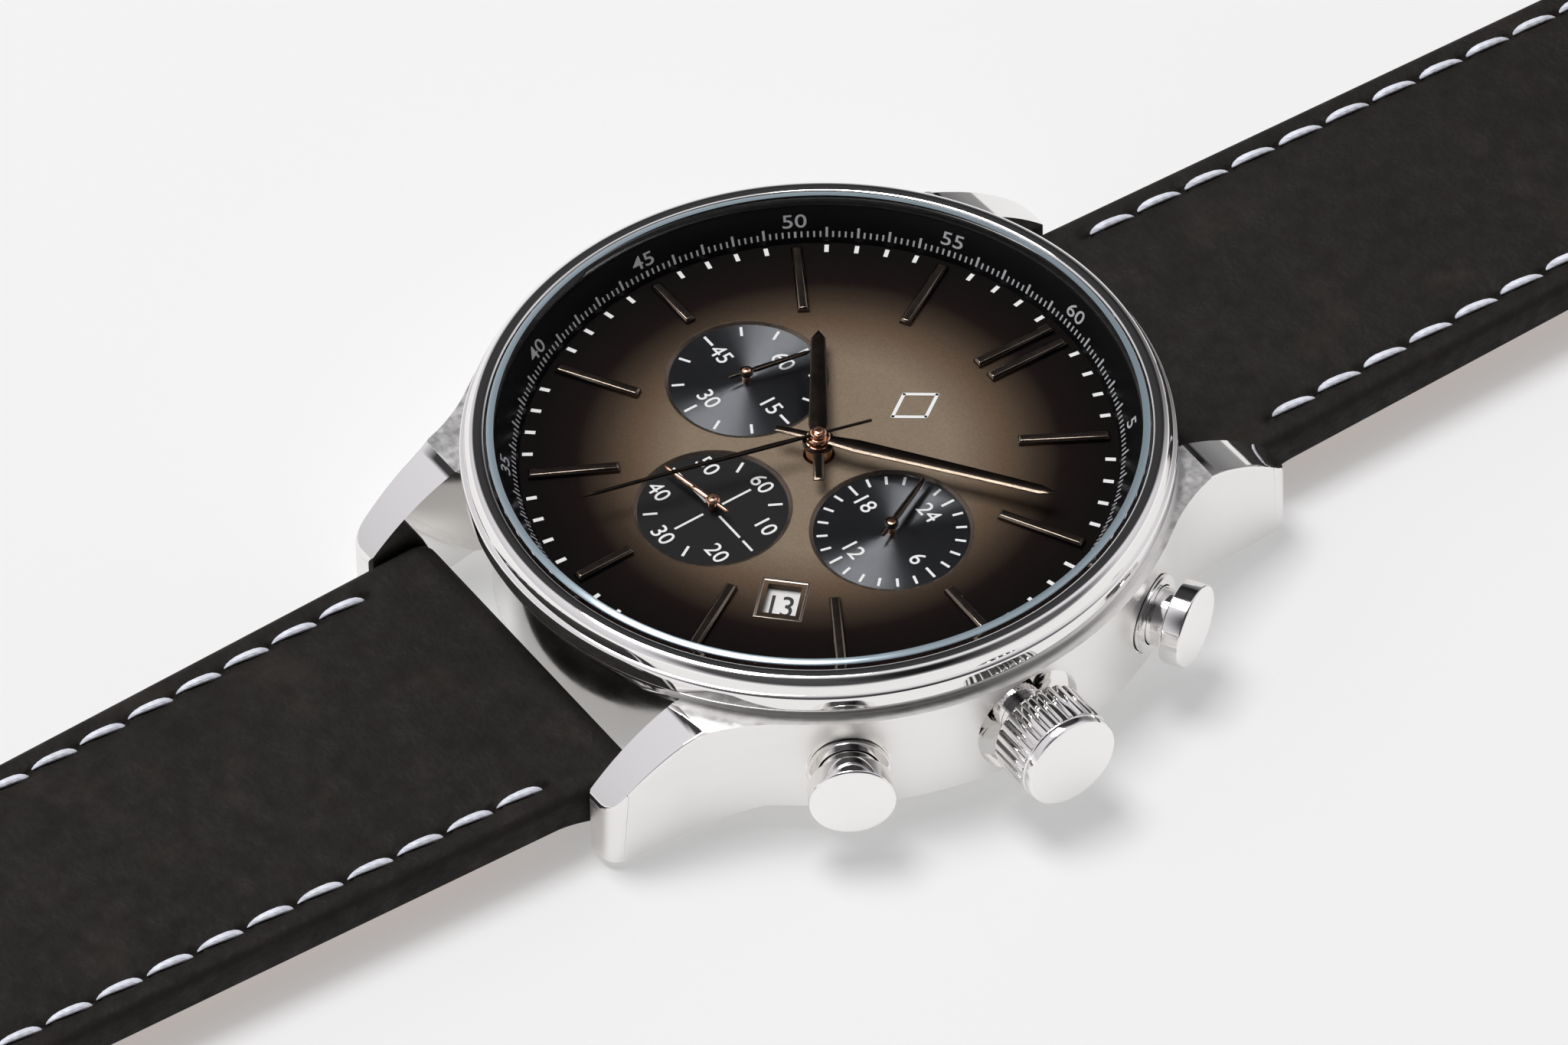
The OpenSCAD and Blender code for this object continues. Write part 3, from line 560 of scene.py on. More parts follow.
def thread():
    settings = bpy.context.scene.watch_strap
    made = Maker("WaxedThread", settings.thread_tone, 0.38)
    twist = made.waves(900, made.mapped(rotation=(0, 0, 0.7)), 0.6)
    made.link(made.bump(twist, 0.5, 0.00005), "Normal")
    shades = [(0.35, tuple(Vector(settings.thread_tone) * 0.82)), (0.65, tuple(settings.thread_tone))]
    made.link(made.ramp(made.noise(900, 2), shades), "Base Color")
    made.set("Sheen Weight", 0.3)
    return made.material


def copper_coil():
    made = Maker("CopperCoil", (0.72, 0.27, 0.12), 0.3, 1.0)
    made.link(made.bump(made.waves(2600, distortion=0.2), 0.7, 0.00005), "Normal")
    return made.material


def circuit_green():
    made = Maker("CircuitGreen", (0.012, 0.09, 0.035), 0.35)
    tracks = made.cells(420, feature="DISTANCE_TO_EDGE")
    made.link(made.ramp(tracks, [(0.0, (0.02, 0.16, 0.06)), (0.12, (0.01, 0.075, 0.03))]), "Base Color")
    made.set("Coat Weight", 0.5)
    return made.material


# Plain finishes: name, tone, roughness, metallic, grain, depth and gloss, as plain() takes them
PLAIN_FINISHES = {
    "satin_steel": ("SatinSteel", (0.96, 0.95, 0.935), 0.34, 1.0, 1800, 0.02),
    "bright_steel": ("BrightSteel", (0.72, 0.72, 0.72), 0.22, 1.0, 2400, 0.05),
    "iron": ("StatorIron", (0.32, 0.32, 0.33), 0.4, 1.0, 2000, 0.1),
    "gilt": ("GiltBrass", (0.82, 0.58, 0.24), 0.3, 1.0, 1800, 0.1),
    "rose": ("RoseGilt", (0.86, 0.50, 0.34), 0.14, 1.0, 1400, 0.0),
    "bronze": ("DarkBronze", (0.20, 0.165, 0.135), 0.14, 1.0, 1400, 0.0),
    # Hands: dark bronze, made darker than the markers' bronze as painted shade in place of the dark
    # reflections of their polished faces
    "dark_hand": ("DarkHand", (0.085, 0.066, 0.052), 0.16, 1.0, 1400, 0.0),
    "rim": ("CounterRim", (0.15, 0.115, 0.09), 0.25, 0.8, 1400, 0.0),
    "frame": ("DateFrame", (0.30, 0.255, 0.22), 0.2, 0.9, 1400, 0.0),
    # Glass bevel: opaque grey-blue whose tone is a painted reflection of what the clear bevel shows, under
    # its real gloss
    "glass_edge": ("GlassBevelPaintedReflection", (0.30, 0.37, 0.41), 0.16, 0.35, 900, 0.0),
    "flange": ("FlangeBlack", (0.0042, 0.0042, 0.0046), 0.38, 0.0, 4000, 0.06, 0.12),
    "counter_black": ("CounterBlack", (0.010, 0.0095, 0.0095), 0.5, 0.0, 7000, 0.15, 0.15),
    "white_print": ("WhitePrint", (0.83, 0.83, 0.82), 0.5, 0.0, 6000),
    "grey_print": ("GreyPrint", (0.50, 0.51, 0.52), 0.5, 0.0, 6000),
    "date_white": ("DateWhite", (0.80, 0.80, 0.78), 0.55, 0.0, 5000),
    "date_black": ("DateInk", (0.012, 0.012, 0.012), 0.5, 0.0, 6000),
    "rubber": ("BlackRubber", (0.012, 0.012, 0.012), 0.7, 0.0, 2500, 0.3),
    "white_plastic": ("WhitePlastic", (0.72, 0.72, 0.70), 0.45, 0.0, 1500, 0.12),
}
OTHER_FINISHES = {
    "polished_steel": polished_steel,
    "neck_steel": lambda: polished_steel("NeckSteel", 0.13),
    "brushed_steel": brushed_steel,
    "back_steel": case_back_steel,
    "glass": glass,
    "dial": dial_lacquer,
    "sunburst_left": lambda: sunburst_black("SunburstLeft", COUNTERS["left"][0]),
    "sunburst_right": lambda: sunburst_black("SunburstRight", COUNTERS["right"][0]),
    "circuit": circuit_green,
    "copper": copper_coil,
    "leather": black_leather,
    "lining": tan_leather,
    "thread": thread,
}
# The material that each finish makes, kept once it is made
FINISHES = {}


def finish_of(name):
    """Each finish is made once, when a piece first asks for it."""
    if name not in FINISHES:
        FINISHES[name] = plain(*PLAIN_FINISHES[name]) if name in PLAIN_FINISHES else OTHER_FINISHES[name]()
    return FINISHES[name]


# ---- Case ----


class WATCH_OT_case(bpy.types.Operator):
    """Middle case with lugs, case back and spring bars"""
    bl_idname = "watch.case"
    bl_label = "Case"

    # Just past a lug's inner wall, and where the lugs leave the round of the case
    gap_half = 11.3
    lug_start = 15.0

    def on_lug_rim(self, edge):
        """True for an edge between a lug's top and the brushed flank."""
        slants = sorted(abs(face.normal.z) for face in edge.link_faces)
        middle = (edge.verts[0].co + edge.verts[1].co) / 2
        outside = all(face.normal.xy.dot(middle.xy) > -0.01 for face in edge.link_faces)
        lug = abs(middle.y) > self.lug_start - 1 and abs(middle.x) > self.gap_half + 0.1
        return slants[0] < 0.2 < slants[1] and outside and lug and 2.5 < middle.z < BEZEL_LOW - 0.05

    def execute(self, context):
        bm = cad_copy("case_middle")
        soften(bm, 0.2, 25, 2, self.on_lug_rim, clamp=False)
        soften(bm, 0.07, 28, 2, lambda e: e.calc_length() > 0.01)
        for face in bm.faces:
            centre = face.calc_center_median()
            out = face.normal.xy.dot(centre.xy.normalized())
            wall = abs(face.normal.z) < 0.12 and out > 0.2
            between_lugs = abs(centre.x) < self.gap_half and abs(centre.y) > self.lug_start
            near_holes = centre.xy.length < CASE_R - 0.25 and abs(centre.y) < self.lug_start
            face.material_index = 1 if wall and not between_lugs and not near_holes else 0
            if between_lugs and out > 0.1 and abs(centre.x) < self.gap_half - 0.3:
                face.material_index = 2
            if face.normal.z > 0.95 and centre.z > BEZEL_LOW - 0.2:
                face.material_index = 3
        new_piece(bm, "middle_case", ("polished_steel", "brushed_steel", "neck_steel", "satin_steel"),
                  ["case_middle"], weighted=True)
        refine("case_back", "back_steel", 0.1)
        refine("case_back_gasket", "rubber")
        for side in ("12", "6"):
            refine("spring_bar_" + side, "bright_steel")
            for hand in ("left", "right"):
                refine(f"spring_bar_tip_{side}_{hand}", "bright_steel", 0.05)
        return {"FINISHED"}


class WATCH_OT_bezel(bpy.types.Operator):
    """Polished bezel, glass, gasket and the tubes of the crown and pushers"""
    bl_idname = "watch.bezel"
    bl_label = "Bezel and glass"

    def bezel(self):
        """Polished ring with a groove under its belly and a rounded top."""
        r, z0, z1 = BEZEL_R, BEZEL_LOW, BEZEL_TOP
        inner = GLASS_R + 0.12
        seat = FLANGE_R + 0.05
        outer = ([(r - 0.32, z0), (r - 0.24, z0 + 0.06), (r - 0.22, z0 + 0.34)]
                 + curve3((r - 0.2, z0 + 0.40), (r - 0.01, z0 + 0.46), (r, z0 + 0.70), 6)
                 + curve3((r, z0 + 1.35), (r - 0.01, z0 + 1.52), (r - 0.10, z0 + 1.58), 6)
                 + curve3((r - 0.24, z0 + 1.63), (r - 0.34, z1 - 0.05), (r - 0.95, z1), 14)
                 + curve3((r - 1.05, z1), (inner, z1 + 0.005), (inner, z1 - 0.12), 6))
        profile = [(seat, z0)] + outer + [(inner, GLASS_Z - 0.2), (seat, GLASS_Z - 0.2)]
        new_piece(turned(profile, 320), "bezel_ring", "polished_steel", ["bezel"])

    def glass(self):
        """Domed glass with a bevel round its top; the bevel's opaque grey-blue colour is a painted
        reflection, with real gloss over it.
        """
        glass_top = GLASS_Z + 1.1
        edge = GLASS_R - 0.45
        rise = DOME_TOP - glass_top
        dome = (edge * edge + rise * rise) / (2 * rise)
        radii = [edge * (1 - i / 24) for i in range(25)]
        crown = [(r, glass_top + rise - dome + math.sqrt(dome ** 2 - r ** 2)) for r in radii]
        profile = ([(0, GLASS_Z), (GLASS_R - 0.08, GLASS_Z), (GLASS_R, GLASS_Z + 0.08),
                    (GLASS_R, glass_top - 0.22)]
                   + curve3((GLASS_R, glass_top - 0.2), (GLASS_R - 0.02, glass_top - 0.1),
                            (GLASS_R - 0.1, glass_top - 0.07), 4) + crown)
        bm = turned(profile, 256, closed=False)
        for face in bm.faces:
            centre = face.calc_center_median()
            bevel = centre.xy.length > edge + 0.02 and centre.z > glass_top - 0.12
            # The bevel's faces take the finish whose colour is a painted reflection
            face.material_index = 1 if bevel else 0
        new_piece(bm, "domed_glass", ("glass", "glass_edge"), ["crystal"])

    def execute(self, context):
        self.bezel()
        self.glass()
        refine("crystal_gasket", "rubber", 0.03)
        refine("crown_tube", "polished_steel", 0.05)
        tubes = soften(cad_copy("pusher_tubes"), 0.06)
        new_piece(tubes, "pusher_tube_pair", "polished_steel", ["pusher_tubes"], weighted=True)
        return {"FINISHED"}


# ---- Flange ring with its seconds scale ----

SLOPE_FOOT = (DIAL_EDGE_R, DIAL_Z + 0.2)
SLOPE_HEAD = (FLANGE_R - 0.15, FLANGE_TOP)
SLOPE_LENGTH = math.dist(SLOPE_FOOT, SLOPE_HEAD)


def on_slope(along, clock_angle, lift):
    """A point on the flange's slope, at a distance up it and a clockwise angle in radians, lifted off it."""
    dr = (SLOPE_HEAD[0] - SLOPE_FOOT[0]) / SLOPE_LENGTH
    dz = (SLOPE_HEAD[1] - SLOPE_FOOT[1]) / SLOPE_LENGTH
    r = SLOPE_FOOT[0] + along * dr - lift * dz
    z = SLOPE_FOOT[1] + along * dz + lift * dr
    return Vector((r * math.sin(clock_angle), r * math.cos(clock_angle), z))


class WATCH_OT_flange(bpy.types.Operator):
    """Sloping flange ring with three hundred ticks and twelve numerals"""
    bl_idname = "watch.flange"
    bl_label = "Flange ring"

    print_height = 0.014
    numeral_along = 1.62

    def execute(self, context):
        inner = -low("flange_ring", 0) - 0.45
        profile = [(DIAL_EDGE_R, DIAL_Z), (inner, DIAL_Z), (inner, BEZEL_LOW), (FLANGE_R, BEZEL_LOW),
                   (FLANGE_R, FLANGE_TOP), SLOPE_HEAD, SLOPE_FOOT]
        new_piece(turned(profile, 300), "flange", "flange", ["flange_ring"])
        bm = bmesh.new()
        for i in range(300):
            length = 0.78 if i % 5 == 0 and i % 25 else 0.46
            width = 0.14 if i % 5 == 0 else 0.105
            angle = math.tau * i / 300
            for v in add_box(bm, (width, length, self.print_height)):
                along = 0.32 + length / 2 + v.co.y
                v.co = on_slope(along, angle + v.co.x / DIAL_EDGE_R, v.co.z + self.print_height / 2)
        outward(bm)
        new_piece(bm, "flange_ticks", "grey_print", smooth=False)
        bm = bmesh.new()
        for hour in range(12):
            middle = math.tau * hour / 12

            def on_ring(p, a=middle):
                return on_slope(self.numeral_along + p.y, a + p.x / (DIAL_EDGE_R + 0.8), p.z)

            add_text(bm, str(60 if hour == 0 else hour * 5), 1.5, self.print_height, on_ring)
        new_piece(bm, "flange_numerals", "grey_print", smooth=False)
        return {"FINISHED"}


# ---- Dial ----

INK = 0.012


def add_tick(bm, at, clock_angle, r_out, length, width, z):
    turn = Matrix.Translation((at[0], at[1], z)) @ clock(clock_angle)
    add_box(bm, (width, length, INK), (0, r_out - length / 2, INK / 2), turn)


class WATCH_OT_dial(bpy.types.Operator):
    """Dial with its minute track, counters, printed numerals and date window"""
    bl_idname = "watch.dial"
    bl_label = "Dial"

    def counter(self, name, finish, numerals, numeral_r, ticks, z):
        """One counter: floor, bevelled rim, ticks as (angle, outer radius, length, width), and numerals."""
        at, r = COUNTERS[name]
        floor = turned([(0, z - 0.02), (r - 0.02, z - 0.02), (r - 0.02, z), (0, z)], 128, False, at)
        new_piece(floor, f"counter_{name}_floor", finish)
        rim_top = DIAL_Z + 0.012
        rim = turned([(r - 0.22, z), (r + 0.02, z), (r + 0.02, rim_top), (r - 0.03, rim_top)], 160, centre=at)
        new_piece(rim, f"counter_{name}_rim", "rim")
        bm = bmesh.new()
        for tick in ticks:
            add_tick(bm, at, *tick, z)
        size = bpy.context.scene.watch_dial.numeral_size
        for words, angle in numerals:
            a = math.radians(angle)
            spot = Vector((at[0] + numeral_r * math.sin(a), at[1] + numeral_r * math.cos(a), z))
            add_text(bm, words, size, INK, lambda p, s=spot: s + p)
        new_piece(bm, f"counter_{name}_print", "white_print", smooth=False)

    def execute(self, context):
        z = DIAL_Z - COUNTER_DEPTH + 0.02
        new_piece(cad_copy("dial"), "dial_plate", "dial", ["dial"], weighted=True)
        ticks = [(i * 30, 4.25, 0.85 if i % 3 == 0 else 0.72, 0.16) for i in range(12)]
        numerals = [("60", 0), ("15", 90), ("30", 180), ("45", 270)]
        self.counter("left", "sunburst_left", numerals, 2.55, ticks, z)
        ticks = [(i * 15, 4.25, 0.85 if i % 6 == 0 else 0.62, 0.16) for i in range(24)]
        numerals = [("24", 0), ("6", 90), ("12", 180), ("18", 270)]
        self.counter("right", "sunburst_right", numerals, 2.55, ticks, z)
        ticks = [(a, 3.95, 0.82, 0.16) for a in (30, 150, 210, 330)]
        ticks += [(a, 2.6, 1.95, 0.14) for a in (0, 180)] + [(a, 2.7, 2.05, 0.14) for a in (90, 270)]
        ticks += [(a, 3.95, 0.95, 0.14) for a in (90, 270)]
        numerals = [("60", 0), ("10", 60), ("20", 120), ("30", 180), ("40", 240), ("50", 300)]
        self.counter("low", "counter_black", numerals, 3.38, ticks, z)
        bm = bmesh.new()
        for minute in range(60):
            if minute % 5:
                add_tick(bm, (0, 0), minute * 6, MARKER_OUT + 0.3, 0.6, 0.25, DIAL_Z)
        new_piece(bm, "minute_track", "white_print", smooth=False)
        self.mark()
        self.date()
        return {"FINISHED"}

    def mark(self):
        """A plain lozenge outline under twelve."""
        bm = bmesh.new()
        centre, half_x, half_y, line = Vector((0, 6.6, DIAL_Z)), 1.1, 1.55, 0.2
        corners = [Vector(at) for at in ((half_x, 0, 0), (0, half_y, 0), (-half_x, 0, 0), (0, -half_y, 0))]
        for a, b in zip(corners, corners[1:] + corners[:1]):
            along = b - a
            lie = along.to_track_quat("Y", "Z").to_matrix().to_4x4()
            add_box(bm, (line, along.length + line * 0.6, INK), (0, 0, INK / 2),
                    Matrix.Translation(centre + (a + b) / 2) @ lie)
        new_piece(bm, "dial_lozenge", "white_print", smooth=False)

    def date(self):
        """Bevelled window frame, and a date ring that carries all its numerals."""
        centre_r, size_r, size_t, shown = 11.4, 2.2, 1.94, 13
        window = math.radians(-45)
        bm = bmesh.new()
        rings = []
        for grow, height in ((0.0, -0.38), (0.0, -0.12), (0.30, 0.025), (0.40, 0.025), (0.42, 0.0)):
            x, y = size_r / 2 + grow, size_t / 2 + grow
            rings.append([bm.verts.new((*at, height)) for at in ((-x, -y), (x, -y), (x, y), (-x, y))])
        ring_walls(bm, rings + rings[:1])
        turn = Matrix.Rotation(window, 4, "Z") @ Matrix.Translation((centre_r, 0, DIAL_Z))
        bmesh.ops.transform(bm, matrix=turn, verts=bm.verts)
        outward(bm)
        soften(bm, 0.02)
        new_piece(bm, "date_frame", "frame", weighted=True)
        refine("date_ring", "date_white", 0.02)
        reading = (Matrix.Translation((centre_r + 0.1, 0, high("date_ring", 2)))
                   @ Matrix.Rotation(math.radians(90), 4, "Z") @ Matrix.Diagonal((0.80, 1, 1, 1)))
        bm = bmesh.new()
        for day in range(1, 32):
            angle = window - (day - shown) * math.tau / 31
            there = Matrix.Rotation(angle, 4, "Z") @ reading
            add_text(bm, str(day), 2.2, INK, lambda p, m=there: m @ p, 0.006)
        new_piece(bm, "date_numerals", "date_black", body="date_ring", smooth=False)


class WATCH_OT_markers(bpy.types.Operator):
    """Applied hour markers with a faceted top"""
    bl_idname = "watch.markers"
    bl_label = "Hour markers"

    def execute(self, context):
        bm = bmesh.new()
        width, top = 0.66, DIAL_Z + MARKER_H
        for hour in range(12):
            length = 3.65 if hour in (3, 6, 9) else 5.2
            for shift in ((-width, width) if hour == 0 else (0.0,)):
                verts = add_box(bm, (width, length, MARKER_H),
                                (shift, MARKER_OUT - length / 2, DIAL_Z + MARKER_H / 2))
                edges = {e for v in verts for e in v.link_edges
                         if all(abs(w.co.z - top) < 1e-4 for w in e.verts)}
                made = bmesh.ops.bevel(bm, geom=list(edges), offset=0.14, segments=1, profile=0.5,
                                       affect="EDGES", material=-1, clamp_overlap=True)
                shape = {v for f in made["faces"] for v in f.verts} | {v for v in verts if v.is_valid}
                bmesh.ops.transform(bm, matrix=clock(hour * 30), verts=list(shape))
        soften(bm, 0.025, 20, 1)
        new_piece(bm, "marker_set", "bronze", ["hour_markers"], weighted=True)
        return {"FINISHED"}


# ---- Hands ----


def ridged_hand(length, tail, width, z, thickness, hub_r, centre, clock_angle, bore_r):
    """A pointed hand with a ridge along its middle, a square tail, and a hub with a step."""
    bm = bmesh.new()
    neck = width * 0.55
    point, waist = length * 0.93, length * 0.16
    right = [(neck / 2, -tail), (neck / 2, 0), (width / 2, waist), (width * 0.36, point)]
    outline = right + [(0, length)] + [(-x, y) for x, y in reversed(right)]
    prism(bm, outline, z, z + thickness * 0.55)
    outward(bm)
    top = [f for f in bm.faces if f.normal.z > 0.9]
    bmesh.ops.inset_region(bm, faces=top, thickness=min(width * 0.24, 0.2), depth=thickness * 0.45,
                           use_even_offset=True)
    turn = Matrix.Translation((*centre, 0)) @ clock(clock_angle)
    bmesh.ops.transform(bm, matrix=turn, verts=bm.verts)
    top_z = z + thickness
    hub = turned([(bore_r, z - 0.1), (hub_r - 0.04, z - 0.1), (hub_r, z - 0.06), (hub_r, top_z + 0.05),
                  (hub_r - 0.07, top_z + 0.1), (bore_r, top_z + 0.1)], 48, centre=centre)
    return bm, hub


class WATCH_OT_hands(bpy.types.Operator):
    """The six hands with their hubs, and the arbors and wheels that carry them"""
    bl_idname = "watch.hands"
    bl_label = "Hands"

    # node: (length, tail, width, clockwise angle, hub radius, hub bore, centre, finish)
    HANDS = {
        "hour_hand": (8.9, 3.0, 1.15, 304.4, 0.92, 0.74, (0, 0), "dark_hand"),
        "minute_hand": (14.2, 2.6, 1.0, 52.6, 0.68, 0.49, (0, 0), "dark_hand"),
        "chrono_seconds_hand": (14.3, 3.2, 0.36, 195.5, 0.46, 0.24, (0, 0), "dark_hand"),
        "hand_24h": (4.1, 1.1, 0.42, 333.0, 0.40, 0.24, (COUNTER_OFFSET, 0), "dark_hand"),
        "small_seconds_hand": (3.94, 1.2, 0.34, 260.0, 0.40, 0.24, (0, -COUNTER_OFFSET), "rose"),
        "chrono_minutes_hand": (4.0, 1.1, 0.42, 10.7, 0.40, 0.24, (-COUNTER_OFFSET, 0), "dark_hand"),
    }
    # How far each hand stands over the dial; the counters' hands stand at LOW_LIFT
    LIFTS = {"hour_hand": 1.3, "minute_hand": 1.8, "chrono_seconds_hand": 2.25}
    LOW_LIFT = 0.75
    # Radii of the wheels under the counters' hands
    WHEELS = {"small_seconds_hand": 2.0, "chrono_minutes_hand": 2.1}

    def execute(self, context):
        for node, (length, tail, width, angle, hub_r, bore, centre, finish) in self.HANDS.items():
            z = self.LIFTS.get(node, self.LOW_LIFT) + DIAL_Z
            body = BODY_OF[node]
            blade, hub = ridged_hand(length, tail, width, z, 0.16, hub_r, centre, angle, bore)
            soften(blade, 0.012, 25, 1)
            new_piece(blade, node + "_blade", finish, [node], body, weighted=True)
            # Hubs of the hour, 24-hour and chrono minutes hands take the bronze darkened with painted shade
            metal = "rose" if node.endswith(("minute_hand", "seconds_hand")) else "dark_hand"
            new_piece(hub, node + "_hub", metal, body=body)
            if node in self.WHEELS:
                start = low(node, 2)
                post = [(0, start), (0.25, start), (0.25, z + 0.27), (0.16, z + 0.33), (0, z + 0.34)]
                new_piece(turned(post, 32, False, centre), node + "_arbor", "rose", body=body)
                rim_r, foot = self.WHEELS[node], low("chrono_seconds_arbor", 2) + 0.9
                wheel = [(0.2, foot), (rim_r, foot), (rim_r, foot + 0.2), (0.2, foot + 0.2)]
                new_piece(turned(wheel, 90, centre=centre), node + "_wheel", "gilt", body=body)
        for node in ("cannon_pinion", "hour_wheel", "wheel_24h"):
            refine(node, "rose", 0.03)
        for node in ("minute_wheel", "day_idler"):
            refine(node, "gilt", 0.03)
        refine("chrono_seconds_arbor", "rose", 0.05)
        return {"FINISHED"}


# ---- Crown and pushers ----


class WATCH_OT_crown(bpy.types.Operator):
    """Fluted crown, its stem and its gasket"""
    bl_idname = "watch.crown"
    bl_label = "Crown"

    flutes = 26
    flute_depth = 0.25

    bore_r = 1.6

    def execute(self, context):
        length = CROWN_END - CROWN_BASE
        # Round ribs with narrow grooves between them, cut to full depth between two short collars
        steps = 12
        dips = [math.exp(-((i % steps / steps - 0.5) / 0.16) ** 2) for i in range(self.flutes * steps)]
        outline = [(math.tau * i / len(dips), dip) for i, dip in enumerate(dips)]
        # Height, how far in from the crown's radius, and the share of the grooves' depth
        levels = [(0.0, 0.30, 0.0), (0.05, 0.14, 0.5), (0.12, 0.05, 1.0), (0.3, 0.0, 1.0),
                  (length - 0.92, 0.0, 1.0), (length - 0.80, 0.0, 1.0), (length - 0.72, 0.0, 0.55),
                  (length - 0.68, 0.0, 0.0), (length - 0.62, 0.01, 0.0), (length - 0.56, 0.05, 0.0),
                  (length - 0.22, 0.05, 0.0), (length - 0.06, 0.12, 0.0), (length, 0.26, 0.0)]
        bore = [(1.6, CROWN_R - self.bore_r, 0.0), (0.0, CROWN_R - self.bore_r, 0.0)]
        bm = bmesh.new()
        rings = []
        for z, inset, depth in bore + levels:
            radii = [CROWN_R - inset - self.flute_depth * dip * depth for _, dip in outline]
            rings.append([bm.verts.new((r * math.cos(a), r * math.sin(a), z))
                          for r, (a, _) in zip(radii, outline)])
        ring_walls(bm, rings)
        bm.faces.new(rings[-1])
        bm.faces.new(list(reversed(rings[0])))
        bmesh.ops.recalc_face_normals(bm, faces=bm.faces)
        for face in bm.faces:
            on_end = face.normal.z > 0.9 and face.calc_center_median().z > length - 0.1
            face.material_index = 1 if on_end else 0
        move = radial_turn(0) @ Matrix.Translation((0, 0, CROWN_BASE))
        bmesh.ops.transform(bm, matrix=move, verts=bm.verts)
        new_piece(bm, "fluted_crown", ("polished_steel", "satin_steel"), ["crown"], "crown", weighted=True)
        refine("winding_stem", "bright_steel", 0.05)
        refine("crown_gasket", "rubber", 0.03)
        refine("setting_pinion", "gilt", 0.05)
        return {"FINISHED"}


class WATCH_OT_pushers(bpy.types.Operator):
    """Start and reset pushers with their clips and springs"""
    bl_idname = "watch.pushers"
    bl_label = "Pushers"

    def execute(self, context):
        base = FLANK_R + 1.4
        end = base + 1.3
        heel = FLANK_R - 1.1
        inner = FLANK_R - 4.2
        shaft, cap, stem = 1.75, 2.5, 0.5
        profile = ([(0, inner), (stem, inner), (stem, heel), (shaft - 0.06, heel), (shaft, heel + 0.06),
                    (shaft, base - 0.12)]
                   + curve3((shaft, base - 0.12), (shaft, base), (shaft + 0.12, base), 5)
                   + curve3((cap - 0.14, base), (cap, base), (cap, base + 0.14), 6)
                   + curve3((cap, end - 0.16), (cap, end), (cap - 0.2, end), 6)
                   + [(0, end)])
        for node, angle in PUSHER_ANGLES.items():
            bm = turned(profile, 128, closed=False)
            for face in bm.faces:
                on_end = face.normal.z > 0.9 and face.calc_center_median().z > end - 0.05
                face.material_index = 1 if on_end else 0
            bmesh.ops.transform(bm, matrix=radial_turn(angle), verts=bm.verts)
            new_piece(bm, node + "_button", ("polished_steel", "satin_steel"), [node], node)
            refine(node + "_clip", "bright_steel", 0.04)
            refine(node + "_spring", "bright_steel", 0.005, weighted=False)
        return {"FINISHED"}


# ---- Movement ----


class WATCH_OT_movement(bpy.types.Operator):
    """Holder, plates, cell, board, coils and screws inside the case"""
    bl_idname = "watch.movement"
    bl_label = "Movement"

    PARTS = {
        "movement_holder": "white_plastic",
        "main_plate": "gilt",
        "circuit_board": "circuit",
        "battery": "bright_steel",
        "battery_clamp": "bright_steel",
        "motor_coils": "copper",
        "motor_stators": "iron",
        "train_bridge": "gilt",
        "bridge_screws": "bright_steel",
    }

    def execute(self, context):
        for node, finish in self.PARTS.items():
            refine(node, finish, 0.05)
        return {"FINISHED"}


# ---- Strap ----

# The stitches' line in from the edge, and how far from the spring bar they start
STITCH_INSET = 1.72
STITCH_START = 4.3
# The edge that is folded down over the lining, and the stretch over which it leaves the spring bar's loop
FOLD_W = 1.0
LOOP_BLEND = 4.5
PAD_H = 0.26
GROOVE_DEPTH, GROOVE_W = 0.10, 0.42
NEEDLE_DEPTH, NEEDLE_SPREAD = 0.34, 0.055
HOLE_R, HOLE_PITCH, HOLE_COUNT = 0.95, 6.5, 7
HOLES = [STRAP_6_L - 26 - i * HOLE_PITCH for i in range(HOLE_COUNT)]
SLOT_SIZE = (3.0, 14.0, 12.0)


def half_width(d):
    share = min(max(d, 0.0) / TAPER_END, 1.0)
    return STRAP_HALF + (BUCKLE_END_HALF - STRAP_HALF) * share


def tip_narrowing(d, length):
    """The share of the width that is left near the rounded point of the holed half."""
    start = length - 13.0
    if d <= start:
        return 1.0
    t = (d - start) / (length - start)
    return max(0.02, 1.0 - t ** 2.6) ** 0.62


